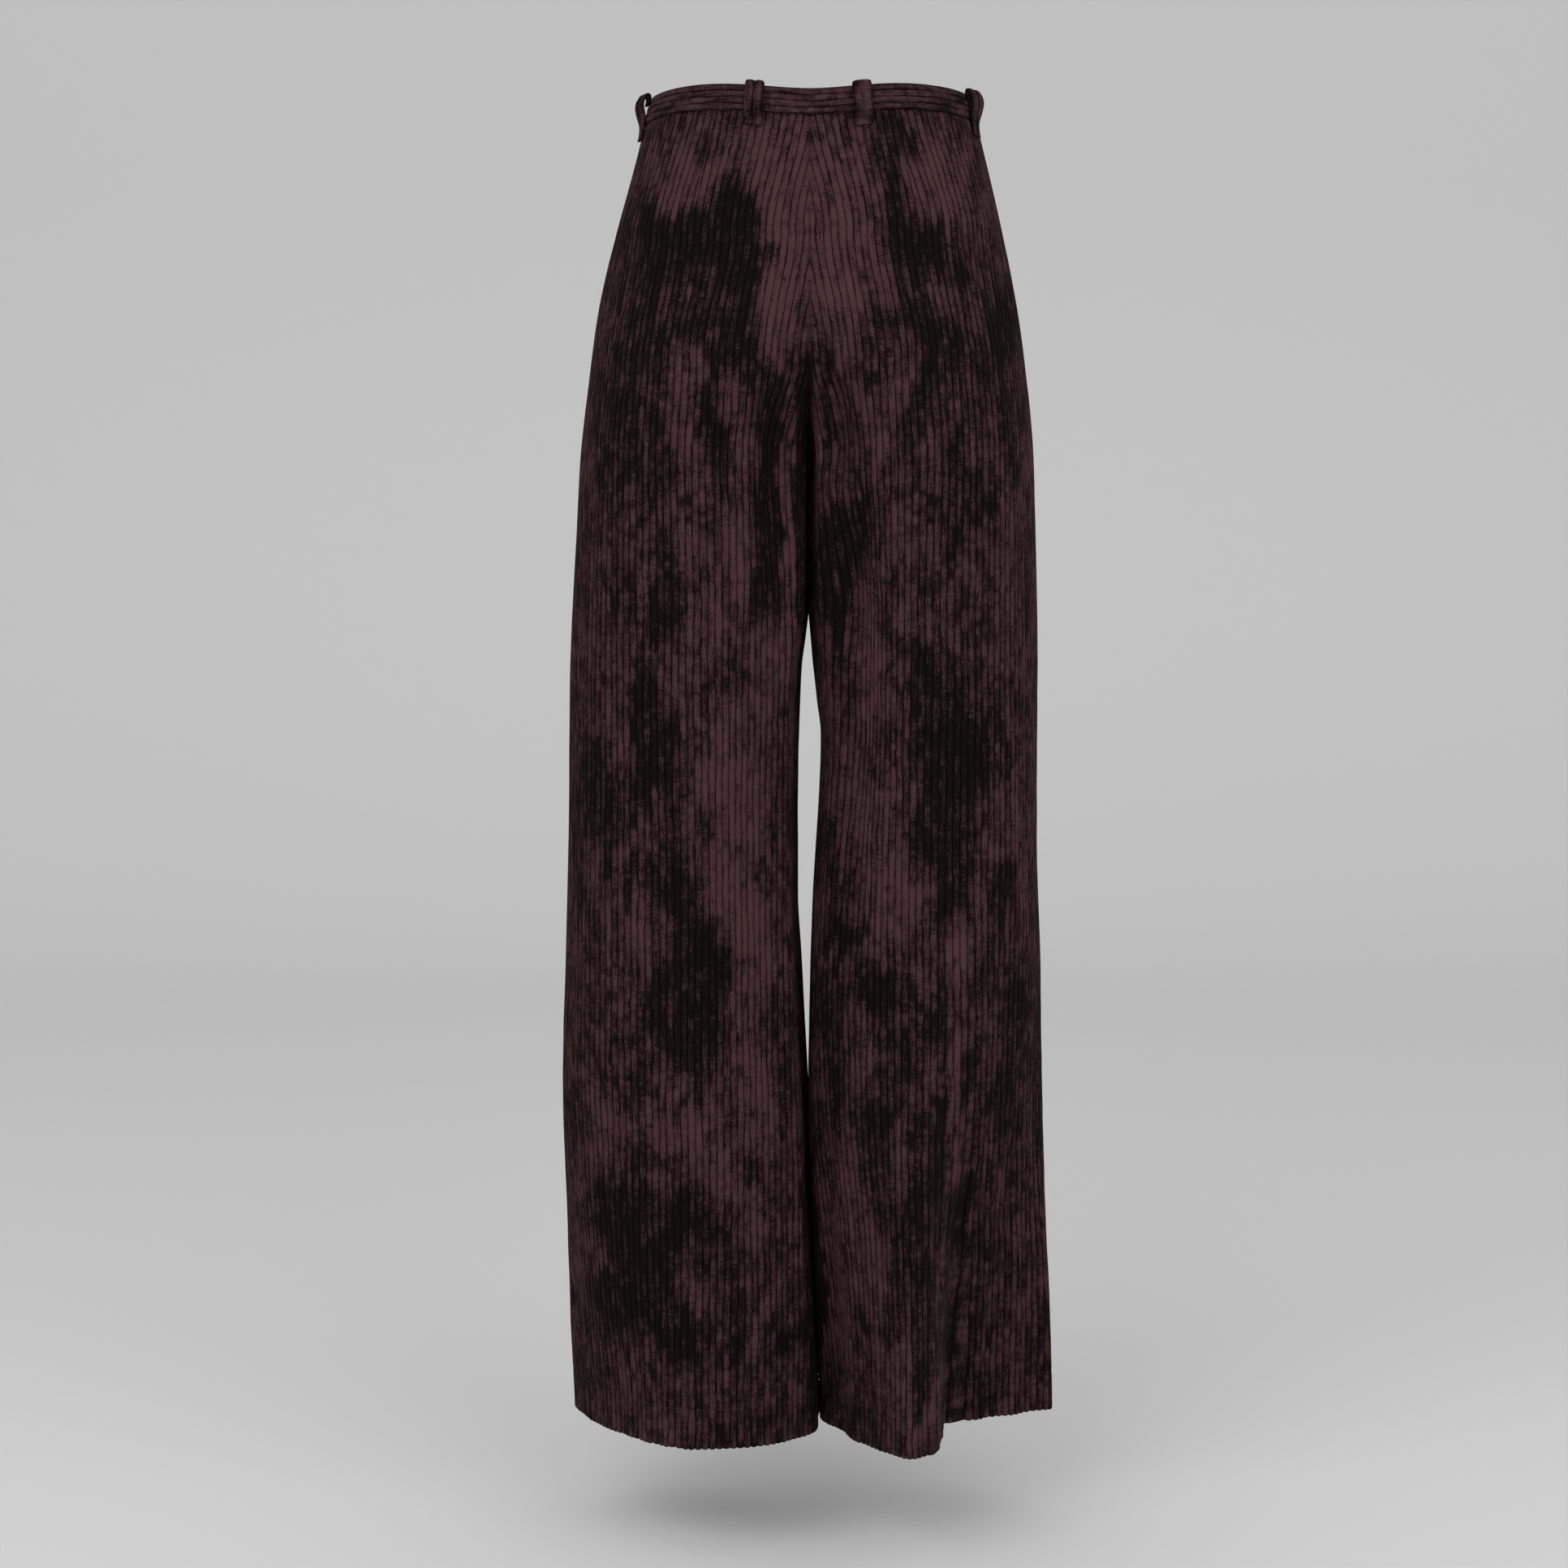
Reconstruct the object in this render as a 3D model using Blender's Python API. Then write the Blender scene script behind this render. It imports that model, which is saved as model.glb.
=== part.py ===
"""High-waisted wide-leg trousers in jumbo cord, hanging hollow as they do when worn.

Metres, +Z up. X runs across the garment, the back faces -Y and the fly front faces +Y.
The origin is the centre of the waist opening, half way up the waistband.

Every cloth piece is a wall worked out from horizontal sections. A section is one leg's ring:
an ellipse whose width and depth are read from the tables below, pushed in and out by folds.
Above the crotch the two rings overlap, and the centre plane cuts them along the rise seam.
"""

import math

import bpy
import numpy as np

LEFT, RIGHT = -1, 1
BACK, FRONT = -1, 1

CLOTH = 0.0020
SEAM_GAP = 0.0003
FULLNESS = 0.10

BAND_HEIGHT = 0.0190
BAND_PROUD = 0.0010
BAND_THICKNESS = 0.0040
BAND_OVER = 0.0160
BAND_UNDER = 0.0300
BAND_RAMP = 0.0250

CROTCH = -0.2650
HEM = -1.0410
HEM_TURN = 0.0350
HEM_LAYERS = 2

FLY_END = -0.1750
FLY_EASE = 0.0200
FLY_OVERLAP = 0.0120
FLY_FLAT = 0.0060
FLY_FADE = 0.0120
ZIP_WIDTH = 0.0260
ZIP_THICKNESS = 0.0015
ZIP_CLEARANCE = 0.0009

LOOP_WIDTH = 0.0140
LOOP_THICKNESS = 0.0024

# Outer surface of the cloth by height, all in millimetres from the centre plane or the mid depth.
# part_back and part_front run from 0, one torso, to 1, two separate legs.
OUTLINE_COLUMNS = ("height", "left", "right", "back", "front", "mid", "part_back", "part_front")
OUTLINE = np.array(
    [
        (10, 122.5, 126.5, 86, 82, 0, 0, 0),
        (-10, 127.5, 131.0, 89, 85, 0, 0, 0),
        (-50, 137.5, 140.5, 99, 94, 0, 0, 0),
        (-104, 151.7, 152.4, 111, 101, 0, 0, 0),
        (-154, 163.3, 162.2, 120, 104, 0, 0.14, 0),
        (-190, 168.8, 167.6, 124, 105, 0, 0.42, 0.10),
        (-210, 171.3, 170.0, 124, 105, 0, 0.64, 0.28),
        (-235, 174.5, 173.0, 122, 105, 0, 0.88, 0.70),
        (-265, 178.0, 175.5, 119, 104, 1, 1, 1),
        (-331, 182.1, 178.0, 113, 102, 3, 1, 1),
        (-434, 187.8, 180.6, 106, 99, 6, 1, 1),
        (-562, 190.0, 181.0, 100, 97, 8, 1, 1),
        (-666, 193.0, 184.8, 98, 97, 9, 1, 1),
        (-771, 196.2, 187.5, 98, 98, 10, 1, 1),
        (-876, 194.3, 191.5, 99, 100, 10, 1, 1),
        (-982, 192.3, 196.8, 100, 103, 10, 1, 1),
        (-1041, 190.0, 198.5, 100, 104, 10, 1, 1),
    ]
)

# Where the inner side of each leg lies below the crotch, in millimetres along X.
INSEAM_COLUMNS = ("height", "left", "right")
INSEAM = np.array(
    [
        (-265, -0.4, 0.4),
        (-345, -0.4, 0.4),
        (-385, -0.9, 0.8),
        (-408, -3.3, 2.5),
        (-434, -6.5, 4.4),
        (-460, -7.7, 7.0),
        (-485, -8.4, 10.2),
        (-511, -9.0, 9.6),
        (-562, -9.6, 7.1),
        (-614, -9.6, 3.9),
        (-666, -7.0, 2.2),
        (-718, -4.4, 0.9),
        (-771, -1.6, 0.3),
        (-824, 0.2, 1.1),
        (-876, 2.2, 3.1),
        (-982, 6.2, 7.1),
        (-1041, 7.8, 8.7),
    ]
)

# How far the waist seam rises, in millimetres, by the angle round the body from the centre back.
WAIST_COLUMNS = ("angle", "rise")
WAIST = np.array(
    [
        (-180, -8.0),
        (-135, -8.5),
        (-90, -8.5),
        (-46, 1.5),
        (0, -3.0),
        (46, 2.0),
        (90, -4.0),
        (135, -7.0),
        (180, -8.0),
    ]
)
WAIST_WAVE_TOP = -0.020
WAIST_WAVE_END = -0.120

# The plan shape that the hems fall into, in millimetres, by the angle round each leg from its
# inseam through the back. out is away from the body's centre and away is towards the front.
HEM_COLUMNS = ("angle", "left_out", "left_away", "right_out", "right_away")
HEM_SHAPE = np.array(
    [
        (0, 0, 0, 0, 0),
        (30, -9, 4, 7, 8),
        (50, 0, -3, 0, 0),
        (65, 0, -1, -2, -14),
        (78, 0, 0, -4, -28),
        (90, 0, 0, -7, -13),
        (100, -2, 6, -17, 23),
        (110, -4, 13, -31, 49),
        (120, -7, 21, -44, 60),
        (130, -10, 26, -49, 58),
        (145, -8, 31, -42, 50),
        (160, -6, 32, -22, 40),
        (180, 0, 28, 1, 21),
        (205, 2, 12, 2, 8),
        (235, 0, 0, 0, 0),
        (275, -2, 6, 2, 9),
        (310, 3, -7, -2, -5),
        (360, 0, 0, 0, 0),
    ]
)
LEFT_HEM_SHAPE_TOP = -0.700
RIGHT_HEM_SHAPE_TOP = -0.600
HEM_SHAPE_POWER = 1.2

# Soft folds that hang from the seat, the crotch and the knees. x is the distance out from the
# centre plane, push is outwards, and all are in millimetres.
FOLD_COLUMNS = ("side", "face", "top", "bottom", "x_top", "x_bottom", "width", "push")
FOLDS = [
    (LEFT, BACK, -175, -370, 25, 29, 13, -5.0),
    (LEFT, BACK, -200, -450, 48, 52, 14, 3.5),
    (LEFT, BACK, -210, -400, 76, 78, 13, -3.5),
    (LEFT, BACK, -430, -820, 92, 66, 17, 4.0),
    (LEFT, BACK, -500, -800, 118, 98, 20, -4.0),
    (LEFT, BACK, -800, -1010, 100, 96, 34, -4.0),
    (RIGHT, BACK, -180, -300, 20, 22, 13, -4.5),
    (RIGHT, BACK, -270, -440, 48, 26, 15, -6.0),
    (RIGHT, BACK, -300, -560, 70, 64, 16, 3.5),
    (RIGHT, BACK, -440, -700, 112, 108, 22, -4.5),
    (RIGHT, BACK, -560, -900, 132, 120, 15, 3.5),
    (RIGHT, BACK, -640, -860, 70, 64, 22, -3.5),
    (LEFT, FRONT, -190, -420, 26, 34, 14, -5.0),
    (LEFT, FRONT, -230, -620, 62, 72, 17, 3.5),
    (LEFT, FRONT, -420, -900, 112, 96, 22, -4.0),
    (LEFT, FRONT, -700, -1100, 66, 58, 22, 4.0),
    (RIGHT, FRONT, -190, -400, 24, 36, 14, -5.0),
    (RIGHT, FRONT, -240, -560, 60, 66, 16, 3.5),
    (RIGHT, FRONT, -460, -860, 118, 104, 22, -4.5),
    (RIGHT, FRONT, -660, -1100, 74, 80, 22, 4.5),
]
FOLD_EASE = 0.35
FOLD_CLEAR_OF_SEAM = 0.006

# Each belt loop is a strap over the band. place is how far round the waist it lies, in metres
# from the centre back towards +X, along the middle of the band.
LOOP_COLUMNS = ("name", "place")
LOOPS = [
    ("belt_loop_back_left", -0.0412),
    ("belt_loop_back_right", 0.0392),
    ("belt_loop_side_left", -0.1690),
    ("belt_loop_side_right", 0.1430),
    ("belt_loop_front_left", -0.2790),
    ("belt_loop_front_right", 0.2840),
]
# The middle line of the strap, in millimetres: its height, and how far it stands off the cloth
# below the band. Its end is turned under at the top, and it is sewn down below the band.
LOOP_PATH_COLUMNS = ("height", "stand_off")
LOOP_PATH = np.array(
    [
        (4.5, 2.4),
        (8.5, 2.5),
        (10.8, 3.2),
        (11.6, 4.8),
        (10.5, 6.8),
        (6.0, 8.4),
        (0.0, 9.2),
        (-6.0, 8.8),
        (-10.8, 6.8),
        (-13.4, 4.1),
        (-15.5, 2.1),
        (-17.6, 1.55),
        (-20.5, 1.55),
    ]
)

SECTION_POINTS = 361
BACK_COLUMNS = 20
FRONT_COLUMNS = 14
BAND_COLUMNS = 96
BAND_ROWS = 3
LOOP_POINTS = 4
ZIP_ROWS = 12
ZIP_POINTS = 4
LEG_ROWS = 23
TORSO_ROWS = 6
CROTCH_ROWS = (0.0008, 0.003, 0.007, 0.013, 0.020, 0.028, 0.038, 0.052, 0.070)

SHARP_ANGLE = math.radians(40)

CLOTH_COLOUR = (0.028, 0.014, 0.016, 1)
TAPE_COLOUR = (0.030, 0.016, 0.018, 1)


def read(rows, columns, name, at, ends_flat=False):
    """Reads one column of a table at any height or angle, on a smooth curve with no overshoot."""
    table = rows[np.argsort(rows[:, 0])]
    x, y = table[:, 0], table[:, columns.index(name)]
    step = np.diff(x)
    slope = np.diff(y) / step
    rate = np.zeros_like(y)
    turning = slope[1:] * slope[:-1] > 0
    mean = 2 * slope[1:] * slope[:-1] / np.where(turning, slope[1:] + slope[:-1], 1)
    rate[1:-1] = np.where(turning, mean, 0)
    if not ends_flat:
        rate[0], rate[-1] = slope[0], slope[-1]
    at = np.clip(np.asarray(at, float), x[0], x[-1])
    i = np.clip(np.searchsorted(x, at) - 1, 0, len(step) - 1)
    t = (at - x[i]) / step[i]
    start = (1 + 2 * t) * (1 - t) ** 2 * y[i] + t * (1 - t) ** 2 * step[i] * rate[i]
    end = t**2 * (3 - 2 * t) * y[i + 1] - t**2 * (1 - t) * step[i] * rate[i + 1]
    return start + end


def outline(name, z):
    """One column of OUTLINE at height z: lengths in metres, the part columns as they are."""
    value = read(OUTLINE, OUTLINE_COLUMNS, name, z * 1000)
    return value if name.startswith("part") else value / 1000


def ease(t):
    """0 below 0, 1 above 1, and a smooth step between."""
    t = np.clip(t, 0, 1)
    return t * t * (3 - 2 * t)


def ring(side, face, z):
    """Half of one leg's ring at height z, from the inseam to the side seam: x out from the
    centre plane and y, before any fold."""
    outer = outline("left" if side == LEFT else "right", z)
    if z < CROTCH:
        inner = side * read(INSEAM, INSEAM_COLUMNS, "left" if side == LEFT else "right", z * 1000) / 1000
        centre, half = (outer + inner) / 2, (outer - inner) / 2
    else:
        part = outline("part_back" if face == BACK else "part_front", z)
        half = outer / (1 + part)
        centre = part * half
    depth = outline("back" if face == BACK else "front", z)
    turn = np.linspace(0, math.pi, SECTION_POINTS)
    sine, cosine = np.sin(turn), np.cos(turn)
    x = centre - half * cosine * (1 + FULLNESS * sine**2)
    y = outline("mid", z) + face * depth * sine * (1 + FULLNESS * cosine**2)
    return x, y, np.degrees(turn)


def outward(side, face, x, y):
    """The plan normal of a half ring, pointing out of the leg, as x out from the centre and y."""
    along_x, along_y = np.gradient(x), np.gradient(y)
    length = np.hypot(along_x, along_y)
    return -face * along_y / length, face * along_x / length


def fold_push(side, face, x, z):
    """How far the soft folds push the cloth out at each point of a half ring."""
    push = np.zeros_like(x)
    for row in FOLDS:
        fold = dict(zip(FOLD_COLUMNS, row))
        if (fold["side"], fold["face"]) != (side, face):
            continue
        down = (fold["top"] - z * 1000) / (fold["top"] - fold["bottom"])
        middle = (fold["x_top"] + (fold["x_bottom"] - fold["x_top"]) * down) / 1000
        strength = ease(down / FOLD_EASE) * ease((1 - down) / FOLD_EASE)
        push += strength * fold["push"] / 1000 * np.exp(-(((x - middle) * 1000 / fold["width"]) ** 2))
    return push * (1 - np.exp(-((x / FOLD_CLEAR_OF_SEAM) ** 2)))


def hem_shift(side, face, turn, z):
    """How the fall of the hem moves each point of a half ring, as x out and y."""
    top = LEFT_HEM_SHAPE_TOP if side == LEFT else RIGHT_HEM_SHAPE_TOP
    strength = ease((top - z) / (top - HEM)) ** HEM_SHAPE_POWER
    angle = turn if face == BACK else 360 - turn
    name = "left" if side == LEFT else "right"
    out = read(HEM_SHAPE, HEM_COLUMNS, name + "_out", angle, ends_flat=True)
    away = read(HEM_SHAPE, HEM_COLUMNS, name + "_away", angle, ends_flat=True)
    return strength * out / 1000, strength * away / 1000


def section(side, face, z):
    """The cloth's outer line at height z, as arc length, x, y and the outward normal. Above the
    crotch it starts where the centre plane cuts it."""
    x, y, turn = ring(side, face, z)
    shift_x, shift_y = hem_shift(side, face, turn, z)
    x, y = x + shift_x, y + shift_y
    out_x, out_y = outward(side, face, x, y)
    push = fold_push(side, face, x, z)
    x, y = x + push * out_x, y + push * out_y
    out_x, out_y = outward(side, face, x, y)
    first = 0.0
    if z >= CROTCH:
        ahead = int(np.argmax(x > SEAM_GAP / 2))
        if ahead:
            first = ahead - (x[ahead] - SEAM_GAP / 2) / (x[ahead] - x[ahead - 1])
    place = np.concatenate([[first], np.arange(math.floor(first) + 1, len(x))])
    x, y, out_x, out_y = (np.interp(place, np.arange(len(x)), v) for v in (x, y, out_x, out_y))
    arc = np.concatenate([[0], np.cumsum(np.hypot(np.diff(x), np.diff(y)))])
    return arc, x, y, out_x, out_y


def waist_rise(x, y, z):
    """How far the wave of the waist seam lifts the points of a section at height z."""
    angle = np.degrees(np.arctan2(x, -y))
    rise = read(WAIST, WAIST_COLUMNS, "rise", angle) / 1000
    return rise * ease((z - WAIST_WAVE_END) / (WAIST_WAVE_TOP - WAIST_WAVE_END))


def cloth_row(side, face, z, arcs, offset):
    """Points of a cloth piece at height z and at these arc lengths, offset outwards. An arc
    length below 0 runs straight on past the centre plane."""
    arc, x, y, out_x, out_y = section(side, face, z)
    x, y, out_x, out_y = (np.interp(arcs, arc, v) for v in (x, y, out_x, out_y))
    rise = waist_rise(side * x, y, z)
    x = x + np.minimum(arcs, 0)
    return np.column_stack([side * (x + offset * out_x), y + offset * out_y, z + rise])


def row_heights():
    """Heights of the panel's rows, close together at the crotch, at the fly's end and at the
    hem's turn."""
    hem = [HEM, HEM + HEM_TURN / 2, HEM + HEM_TURN, HEM + HEM_TURN + 2 * SEAM_GAP]
    legs = np.linspace(hem[-1], CROTCH, LEG_ROWS)[1:]
    near = CROTCH + np.array(CROTCH_ROWS)
    fly = FLY_END + FLY_EASE * np.arange(3)
    torso = np.linspace(fly[-1], -BAND_HEIGHT / 2 - SEAM_GAP, TORSO_ROWS)[1:]
    return np.concatenate([hem, legs, near, fly, torso])


def fly_lap(z):
    """How far the right front lifts off the left one at height z, and how far it reaches past
    the centre. It lifts first, so that the two never meet."""
    lift = (CLOTH + SEAM_GAP) * ease((z - FLY_END) / FLY_EASE)
    reach = FLY_OVERLAP * ease((z - FLY_END - FLY_EASE) / FLY_EASE)
    return lift, reach


def panel_rows(side, face, columns):
    """Outer and inner points of a leg panel, row by row from the hem to the waist seam."""
    outer, inner = [], []
    for z in row_heights():
        length = section(side, face, z)[0][-1]
        first = 0 if z > CROTCH else SEAM_GAP / 2
        arcs = np.linspace(first, length - SEAM_GAP / 2, columns)
        lift = np.zeros(columns)
        if (side, face) == (RIGHT, FRONT):
            rise, reach = fly_lap(z)
            rest = np.linspace(FLY_FLAT + FLY_FADE, length - SEAM_GAP / 2, columns - 2)
            arcs = np.concatenate([[first - reach, FLY_FLAT], rest])
            lift[:2] = rise
        thickness = CLOTH * (HEM_LAYERS if z < HEM + HEM_TURN + SEAM_GAP else 1)
        outer.append(cloth_row(side, face, z, arcs, lift))
        inner.append(cloth_row(side, face, z, arcs, lift - thickness))
    return np.array(outer), np.array(inner)


def wall(name, outer, inner, flipped):
    """One closed solid between an outer and an inner grid of points."""
    rows, columns = outer.shape[:2]
    count = rows * columns
    at = np.arange(count).reshape(rows, columns)
    faces = []

    def patch(a, b, c, d):
        quads = np.column_stack([v.ravel() for v in (a, b, c, d)])
        faces.extend((quads[:, ::-1] if flipped else quads).tolist())

    patch(at[:-1, :-1], at[:-1, 1:], at[1:, 1:], at[1:, :-1])
    back = at + count
    patch(back[:-1, :-1], back[1:, :-1], back[1:, 1:], back[:-1, 1:])
    patch(at[0, :-1], back[0, :-1], back[0, 1:], at[0, 1:])
    patch(at[-1, :-1], at[-1, 1:], back[-1, 1:], back[-1, :-1])
    patch(at[:-1, 0], at[1:, 0], back[1:, 0], back[:-1, 0])
    patch(at[:-1, -1], back[:-1, -1], back[1:, -1], at[1:, -1])
    mesh = bpy.data.meshes.new(name)
    mesh.from_pydata(np.concatenate([outer.reshape(-1, 3), inner.reshape(-1, 3)]).tolist(), [], faces)
    mesh.validate()
    mesh.update()
    piece = bpy.data.objects.new(name, mesh)
    bpy.context.scene.collection.objects.link(piece)
    mesh.shade_smooth()
    mesh.set_sharp_from_angle(angle=SHARP_ANGLE)
    return piece


def finish(name, colour, roughness):
    """A plain material in the cloth's or the tape's colour."""
    material = bpy.data.materials.new(name)
    material.use_nodes = True
    shader = material.node_tree.nodes["Principled BSDF"]
    shader.inputs["Base Color"].default_value = colour
    shader.inputs["Roughness"].default_value = roughness
    shader.inputs["Metallic"].default_value = 0
    return material


def waist_row(z, places, offset):
    """Points round the waist at height z and at these arc lengths from the centre back, which
    run by +X, the centre front and -X, offset outwards."""
    lines = []
    for side, face in ((RIGHT, BACK), (RIGHT, FRONT), (LEFT, FRONT), (LEFT, BACK)):
        x, y, out_x, out_y = section(side, face, z)[1:]
        line = np.column_stack([side * x, y, side * out_x, out_y])
        lines.append(line if side == -face else line[::-1])
    line = np.concatenate([*lines, lines[0][:1]])
    arc = np.concatenate([[0], np.cumsum(np.hypot(*np.diff(line[:, :2], axis=0).T))])
    x, y, out_x, out_y = (np.interp(places % arc[-1], arc, v) for v in line.T)
    return np.column_stack([x + offset * out_x, y + offset * out_y, z + waist_rise(x, y, z)])


def waist_lengths(z):
    """The arc length from the centre back to the centre front, by +X and by -X."""
    return [sum(section(side, face, z)[0][-1] for face in (BACK, FRONT)) for side in (RIGHT, LEFT)]


def make_waistband():
    """One strip round the waist. It starts under the right front, past the centre, goes round
    by the left side and the back, and its end laps over the start."""
    outer, inner = [], []
    for z in np.linspace(-BAND_HEIGHT / 2, BAND_HEIGHT / 2, BAND_ROWS):
        right, left = waist_lengths(z)
        closing = right + left + right
        places = np.linspace(right - BAND_UNDER, closing + BAND_OVER, BAND_COLUMNS)
        lifted = ease((places - closing + BAND_UNDER + BAND_RAMP) / BAND_RAMP)
        offset = BAND_PROUD + (BAND_THICKNESS + SEAM_GAP) * lifted
        outer.append(waist_row(z, places, offset))
        inner.append(waist_row(z, places, offset - BAND_THICKNESS))
    return wall("waistband", np.array(outer), np.array(inner), flipped=False)


def make_panels():
    """The two backs and the two fronts, each cut in one piece from waist to hem."""
    pieces = []
    for side, side_name in ((LEFT, "left"), (RIGHT, "right")):
        for face, face_name, columns in ((BACK, "back", BACK_COLUMNS), (FRONT, "front", FRONT_COLUMNS)):
            outer, inner = panel_rows(side, face, columns)
            flipped = side * face > 0
            pieces.append(wall(f"{face_name}_{side_name}", outer, inner, flipped))
    return pieces


def make_belt_loop(name, place):
    """A strap that stands off the band: its middle line, thickened both ways along the normal
    that it has in the plane of its height and stand-off."""
    path = dict(zip(LOOP_PATH_COLUMNS, LOOP_PATH.T / 1000))
    height, stand_off = path["height"], path["stand_off"]
    along_height, along_off = np.gradient(height), np.gradient(stand_off)
    length = np.hypot(along_height, along_off)
    half = LOOP_THICKNESS / 2
    across = np.linspace(-LOOP_WIDTH / 2, LOOP_WIDTH / 2, LOOP_POINTS)
    faces = []
    for way in (-1, 1):
        z = height + way * half * along_off / length
        offset = stand_off - way * half * along_height / length
        stretch = [sum(waist_lengths(level)) / sum(waist_lengths(0)) for level in z]
        rows = [waist_row(level, place * k + across, off) for level, k, off in zip(z, stretch, offset)]
        faces.append(np.array(rows))
    return wall(name, *faces, flipped=False)


def make_zip():
    """The closed zip's tape and teeth, lying behind the lap of the fly."""
    outer, inner = [], []
    behind = CLOTH + ZIP_CLEARANCE
    for z in np.linspace(FLY_END, -BAND_HEIGHT, ZIP_ROWS):
        arcs = np.linspace(0, ZIP_WIDTH / 2, ZIP_POINTS)
        right = cloth_row(RIGHT, FRONT, z, arcs, 0)
        left = cloth_row(LEFT, FRONT, z, arcs[1:], 0)
        line = np.concatenate([left[::-1], right])
        outer.append(line - (0, behind, 0))
        inner.append(line - (0, behind + ZIP_THICKNESS, 0))
    return wall("fly_zip", np.array(outer), np.array(inner), flipped=True)


def main():
    for old in list(bpy.data.objects):
        bpy.data.objects.remove(old)
    cord = finish("corduroy", CLOTH_COLOUR, 0.85)
    tape = finish("zip_tape", TAPE_COLOUR, 0.70)
    loops = [make_belt_loop(**dict(zip(LOOP_COLUMNS, row))) for row in LOOPS]
    for piece in [*make_panels(), make_waistband(), *loops]:
        piece.data.materials.append(cord)
    make_zip().data.materials.append(tape)


main()
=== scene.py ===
"""High-waisted wide-leg trousers in jumbo cord, hanging as they do when worn, seen from behind.

Metres, +Z up. X runs across the garment, the back faces -Y and the fly front faces +Y.

Every leg panel is one thin shell. Its points come from horizontal sections of the leg, and its
columns run along the cords of the cloth, so that the cords are round ridges of the surface.
"""

import functools
import math

import bpy
import numpy as np
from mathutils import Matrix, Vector


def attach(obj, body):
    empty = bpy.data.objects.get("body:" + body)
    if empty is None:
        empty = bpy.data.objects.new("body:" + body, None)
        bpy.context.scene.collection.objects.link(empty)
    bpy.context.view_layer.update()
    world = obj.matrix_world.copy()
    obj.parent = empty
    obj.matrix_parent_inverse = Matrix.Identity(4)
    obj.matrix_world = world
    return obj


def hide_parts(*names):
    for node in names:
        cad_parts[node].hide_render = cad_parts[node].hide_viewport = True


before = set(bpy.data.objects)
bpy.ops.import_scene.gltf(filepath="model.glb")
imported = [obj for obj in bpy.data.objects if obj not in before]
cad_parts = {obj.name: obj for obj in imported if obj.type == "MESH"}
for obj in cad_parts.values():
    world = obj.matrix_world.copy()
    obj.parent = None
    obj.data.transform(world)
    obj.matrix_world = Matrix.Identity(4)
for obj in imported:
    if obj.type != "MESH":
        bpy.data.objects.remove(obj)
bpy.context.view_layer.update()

LEFT, RIGHT = -1, 1
BACK, FRONT = -1, 1

CLOTH = 0.0020
FULLNESS = 0.10

BAND_HEIGHT = 0.0190
BAND_PROUD = 0.0010
BAND_THICKNESS = 0.0040
BAND_OVER = 0.0160
BAND_UNDER = 0.0300
BAND_RAMP = 0.0250
BAND_STEP_UP = 0.0030
SEAM_GAP = 0.0003

CROTCH = -0.2650
HEM = -1.0410
HEM_TURN = 0.0350

FLY_END = -0.1750
FLY_EASE = 0.0200
FLY_OVERLAP = 0.0120
FLY_FLAT = 0.0060
FLY_FADE = 0.0120
ZIP_WIDTH = 0.0260
ZIP_CLEARANCE = 0.0009
TOOTH_PITCH = 0.0022

LOOP_WIDTH = 0.0140
LOOP_THICKNESS = 0.0024

# Outer surface of the cloth by height, all in millimetres from the centre plane or the mid depth.
# part_back and part_front run from 0, one torso, to 1, two separate legs.
OUTLINE_COLUMNS = ("height", "left", "right", "back", "front", "mid", "part_back", "part_front")
OUTLINE = np.array([
    (10, 122.5, 126.5, 86, 82, 0, 0, 0), (-10, 127.5, 131.0, 89, 85, 0, 0, 0),
    (-50, 137.5, 140.5, 99, 94, 0, 0, 0), (-104, 151.7, 152.4, 111, 101, 0, 0, 0),
    (-154, 163.3, 162.2, 120, 104, 0, 0.14, 0), (-190, 168.8, 167.6, 124, 105, 0, 0.42, 0.10),
    (-210, 171.3, 170.0, 124, 105, 0, 0.64, 0.28), (-235, 174.5, 173.0, 122, 105, 0, 0.88, 0.70),
    (-265, 178.0, 175.5, 119, 104, 1, 1, 1), (-331, 182.1, 178.0, 113, 102, 3, 1, 1),
    (-434, 187.8, 180.6, 106, 99, 6, 1, 1), (-562, 190.0, 181.0, 100, 97, 8, 1, 1),
    (-666, 193.0, 184.8, 98, 97, 9, 1, 1), (-771, 196.2, 187.5, 98, 98, 10, 1, 1),
    (-876, 194.3, 191.5, 99, 100, 10, 1, 1), (-982, 192.3, 196.8, 100, 103, 10, 1, 1),
    (-1041, 190.0, 198.5, 100, 104, 10, 1, 1),
])

# Where the inner side of each leg lies below the crotch, in millimetres along X.
INSEAM_COLUMNS = ("height", "left", "right")
INSEAM = np.array([
    (-265, -0.4, 0.4), (-345, -0.4, 0.4), (-385, -0.9, 0.8), (-408, -3.3, 2.5), (-434, -6.5, 4.4),
    (-460, -7.7, 7.0), (-485, -8.4, 10.2), (-511, -9.0, 9.6), (-562, -9.6, 7.1), (-614, -9.6, 3.9),
    (-666, -7.0, 2.2), (-718, -4.4, 0.9), (-771, -1.6, 0.3), (-824, 0.2, 1.1), (-876, 2.2, 3.1),
    (-982, 6.2, 7.1), (-1041, 7.8, 8.7),
])

# How far the waist seam rises, in millimetres, by the angle round the body from the centre back.
WAIST_COLUMNS = ("angle", "rise")
WAIST = np.array([
    (-180, -8.0), (-135, -8.0), (-90, -4.5), (-46, 1.5), (0, -3.0), (46, 2.0), (90, -4.0),
    (135, -7.0), (180, -8.0),
])
WAIST_WAVE_TOP = -0.020
WAIST_WAVE_END = -0.120

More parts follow.
